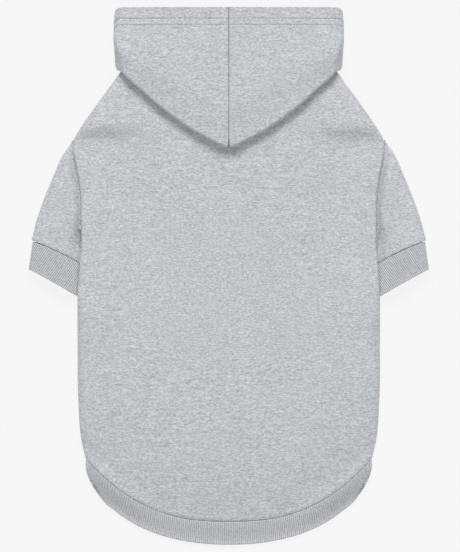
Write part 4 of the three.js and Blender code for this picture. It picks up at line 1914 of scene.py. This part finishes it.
    def close_seam(self, net: Net) -> None:
        """Lays the two halves' sewn edges in the gap between them, from the lower fold to the opening; the
        edges are real, and their dark thread material is painted shade for the seam's groove.

        Args:
            net: The net of the right half.
        """
        seen = self.hidden - self.turn // 2
        flat = np.array((0.0, 1.0, 1.0))
        line = (net.points[0, seen:] - net.normals[0, seen:] * self.seam_sunk) * flat
        out = np.array((self.seam_open, 0.0, 0.0))
        rows = np.array([line - out, line, line + out])
        seam = self.seam_cloth.lay("hood_seam", Net(rows, UP, (1, len(line) // 2)))
        # Painted shade: the sewn edges take the dark thread material, not the fleece.
        trim(seam, self.seam_cloth, self.body.nape, self.finishes.thread)

    def build(self) -> None:
        """Makes this half of the hood and its rows of stitches."""
        net = self.net()
        hood = self.cloth.lay(f"hood_{self.side.word}_cloth", net)
        self.cloth.settle(hood, self.seed + self.seed_step * self.side.value)
        rows = self.rows_from_edge
        columns = [rows.index(distance) - len(rows) for distance in self.needle_rows]
        press(hood, net.row(0)[self.hidden:], self.seam_press)
        for column in columns:
            press(hood, net.column(column), self.needle_press)
        place_in_frame(hood, self.body.nape)
        self.cloth.thicken(hood)
        dress(hood, self.finishes.fleece, Slot.FLEECE, self.flat, self.area)
        # The right half also lays the middle seam's dark strip of painted shade.
        if self.side is Side.RIGHT:
            self.close_seam(net)
        lift = self.body.walls.fleece / 2 - self.needle_press.depth * self.stitch_sunk
        for word, column in zip(("outer", "inner"), columns):
            name = f"hood_{self.side.word}_{word}_stitches"
            self.stitching.sew(name, net.column(column, lift), self.body.nape, self.finishes.thread)


@dataclass(frozen=True)
class Studio:
    """A pale floor that glows, soft lights beyond the hood and the tail, and the camera straight above."""

    frame_height: float = 0.552
    sensor_height: float = 24.0
    camera_height: float = 10.0
    object_level: float = 0.01
    sideways: float = 0.0012
    floor_size: float = 12.0
    floor_roughness: float = 0.9
    floor_tone: float = 0.06
    floor_glow: float = 0.86
    floor_drop: float = 0.0006
    sky: float = 0.27
    lamp_distance: float = 30.0
    key_power: float = 7200.0
    key_size: float = 12.0
    key_elevation: float = 42.0
    fill_power: float = 3000.0
    fill_size: float = 15.0
    fill_elevation: float = 50.0

    def floor(self) -> None:
        """Makes the floor."""
        bpy.ops.object.select_all(action="DESELECT")
        bpy.ops.mesh.primitive_plane_add(size=self.floor_size, location=(0, 0, -self.floor_drop))
        floor = bpy.context.active_object
        floor.name = "studio_floor"
        recipe = Recipe("pale_floor")
        recipe.shader.inputs["Base Color"].default_value = (*(self.floor_tone,) * 3, 1.0)
        recipe.shader.inputs["Emission Color"].default_value = WHITE
        recipe.shader.inputs["Emission Strength"].default_value = self.floor_glow
        floor.data.materials.append(recipe.finish(self.floor_roughness, 0.0))

    def light(self, name: str, size: float, power: float, way: float, elevation: float) -> None:
        """Adds a square soft light that looks at the garment.

        Args:
            name: The light's name.
            size: Its side, in metres.
            power: Its power in watts.
            way: 1 beyond the hood and -1 beyond the tail.
            elevation: How high it hangs, in degrees.
        """
        rise = math.radians(elevation)
        place = Vector((0.0, way * math.cos(rise), math.sin(rise))) * self.lamp_distance
        data = bpy.data.lights.new(name, "AREA")
        data.shape = "SQUARE"
        data.size = size
        data.energy = power
        lamp = bpy.data.objects.new(name, data)
        lamp.location = place
        lamp.rotation_euler = place.to_track_quat("Z", "Y").to_euler()
        bpy.context.collection.objects.link(lamp)

    def camera(self) -> None:
        """Adds the camera, straight above the garment."""
        data = bpy.data.cameras.new("camera")
        data.sensor_fit = "VERTICAL"
        data.sensor_height = self.sensor_height
        data.lens = self.sensor_height * (self.camera_height - self.object_level) / self.frame_height
        camera = bpy.data.objects.new("camera", data)
        camera.location = (self.sideways, 0.0, self.camera_height)
        bpy.context.collection.objects.link(camera)
        bpy.context.scene.camera = camera

    def build(self) -> None:
        """Sets the studio up."""
        scene = bpy.context.scene
        world = bpy.data.worlds.new("studio")
        world.use_nodes = True
        background = world.node_tree.nodes["Background"]
        background.inputs["Color"].default_value = WHITE
        background.inputs["Strength"].default_value = self.sky
        scene.world = world
        scene.view_settings.view_transform = "Standard"
        self.floor()
        self.light("key", self.key_size, self.key_power, 1.0, self.key_elevation)
        self.light("fill", self.fill_size, self.fill_power, -1.0, self.fill_elevation)
        self.camera()
        log.info("studio: floor, key light, fill light and the camera")


def main() -> None:
    """Builds the garment piece by piece, then the studio."""
    logging.basicConfig(level=logging.INFO, format="%(message)s")
    finishes = Finishes(HeatherFleece().make(), RibKnit().make(), SewingThread().make())
    cut = BodyCut()
    Studio().build()
    Body(cut, finishes).build()
    HemBand(cut, finishes).build()
    for side in Side:
        Sleeve(side, cut, finishes).build()
        Hood(side, cut, finishes, Stitching()).build()
    bpy.ops.object.select_all(action="DESELECT")


if __name__ == "__main__":
    main()
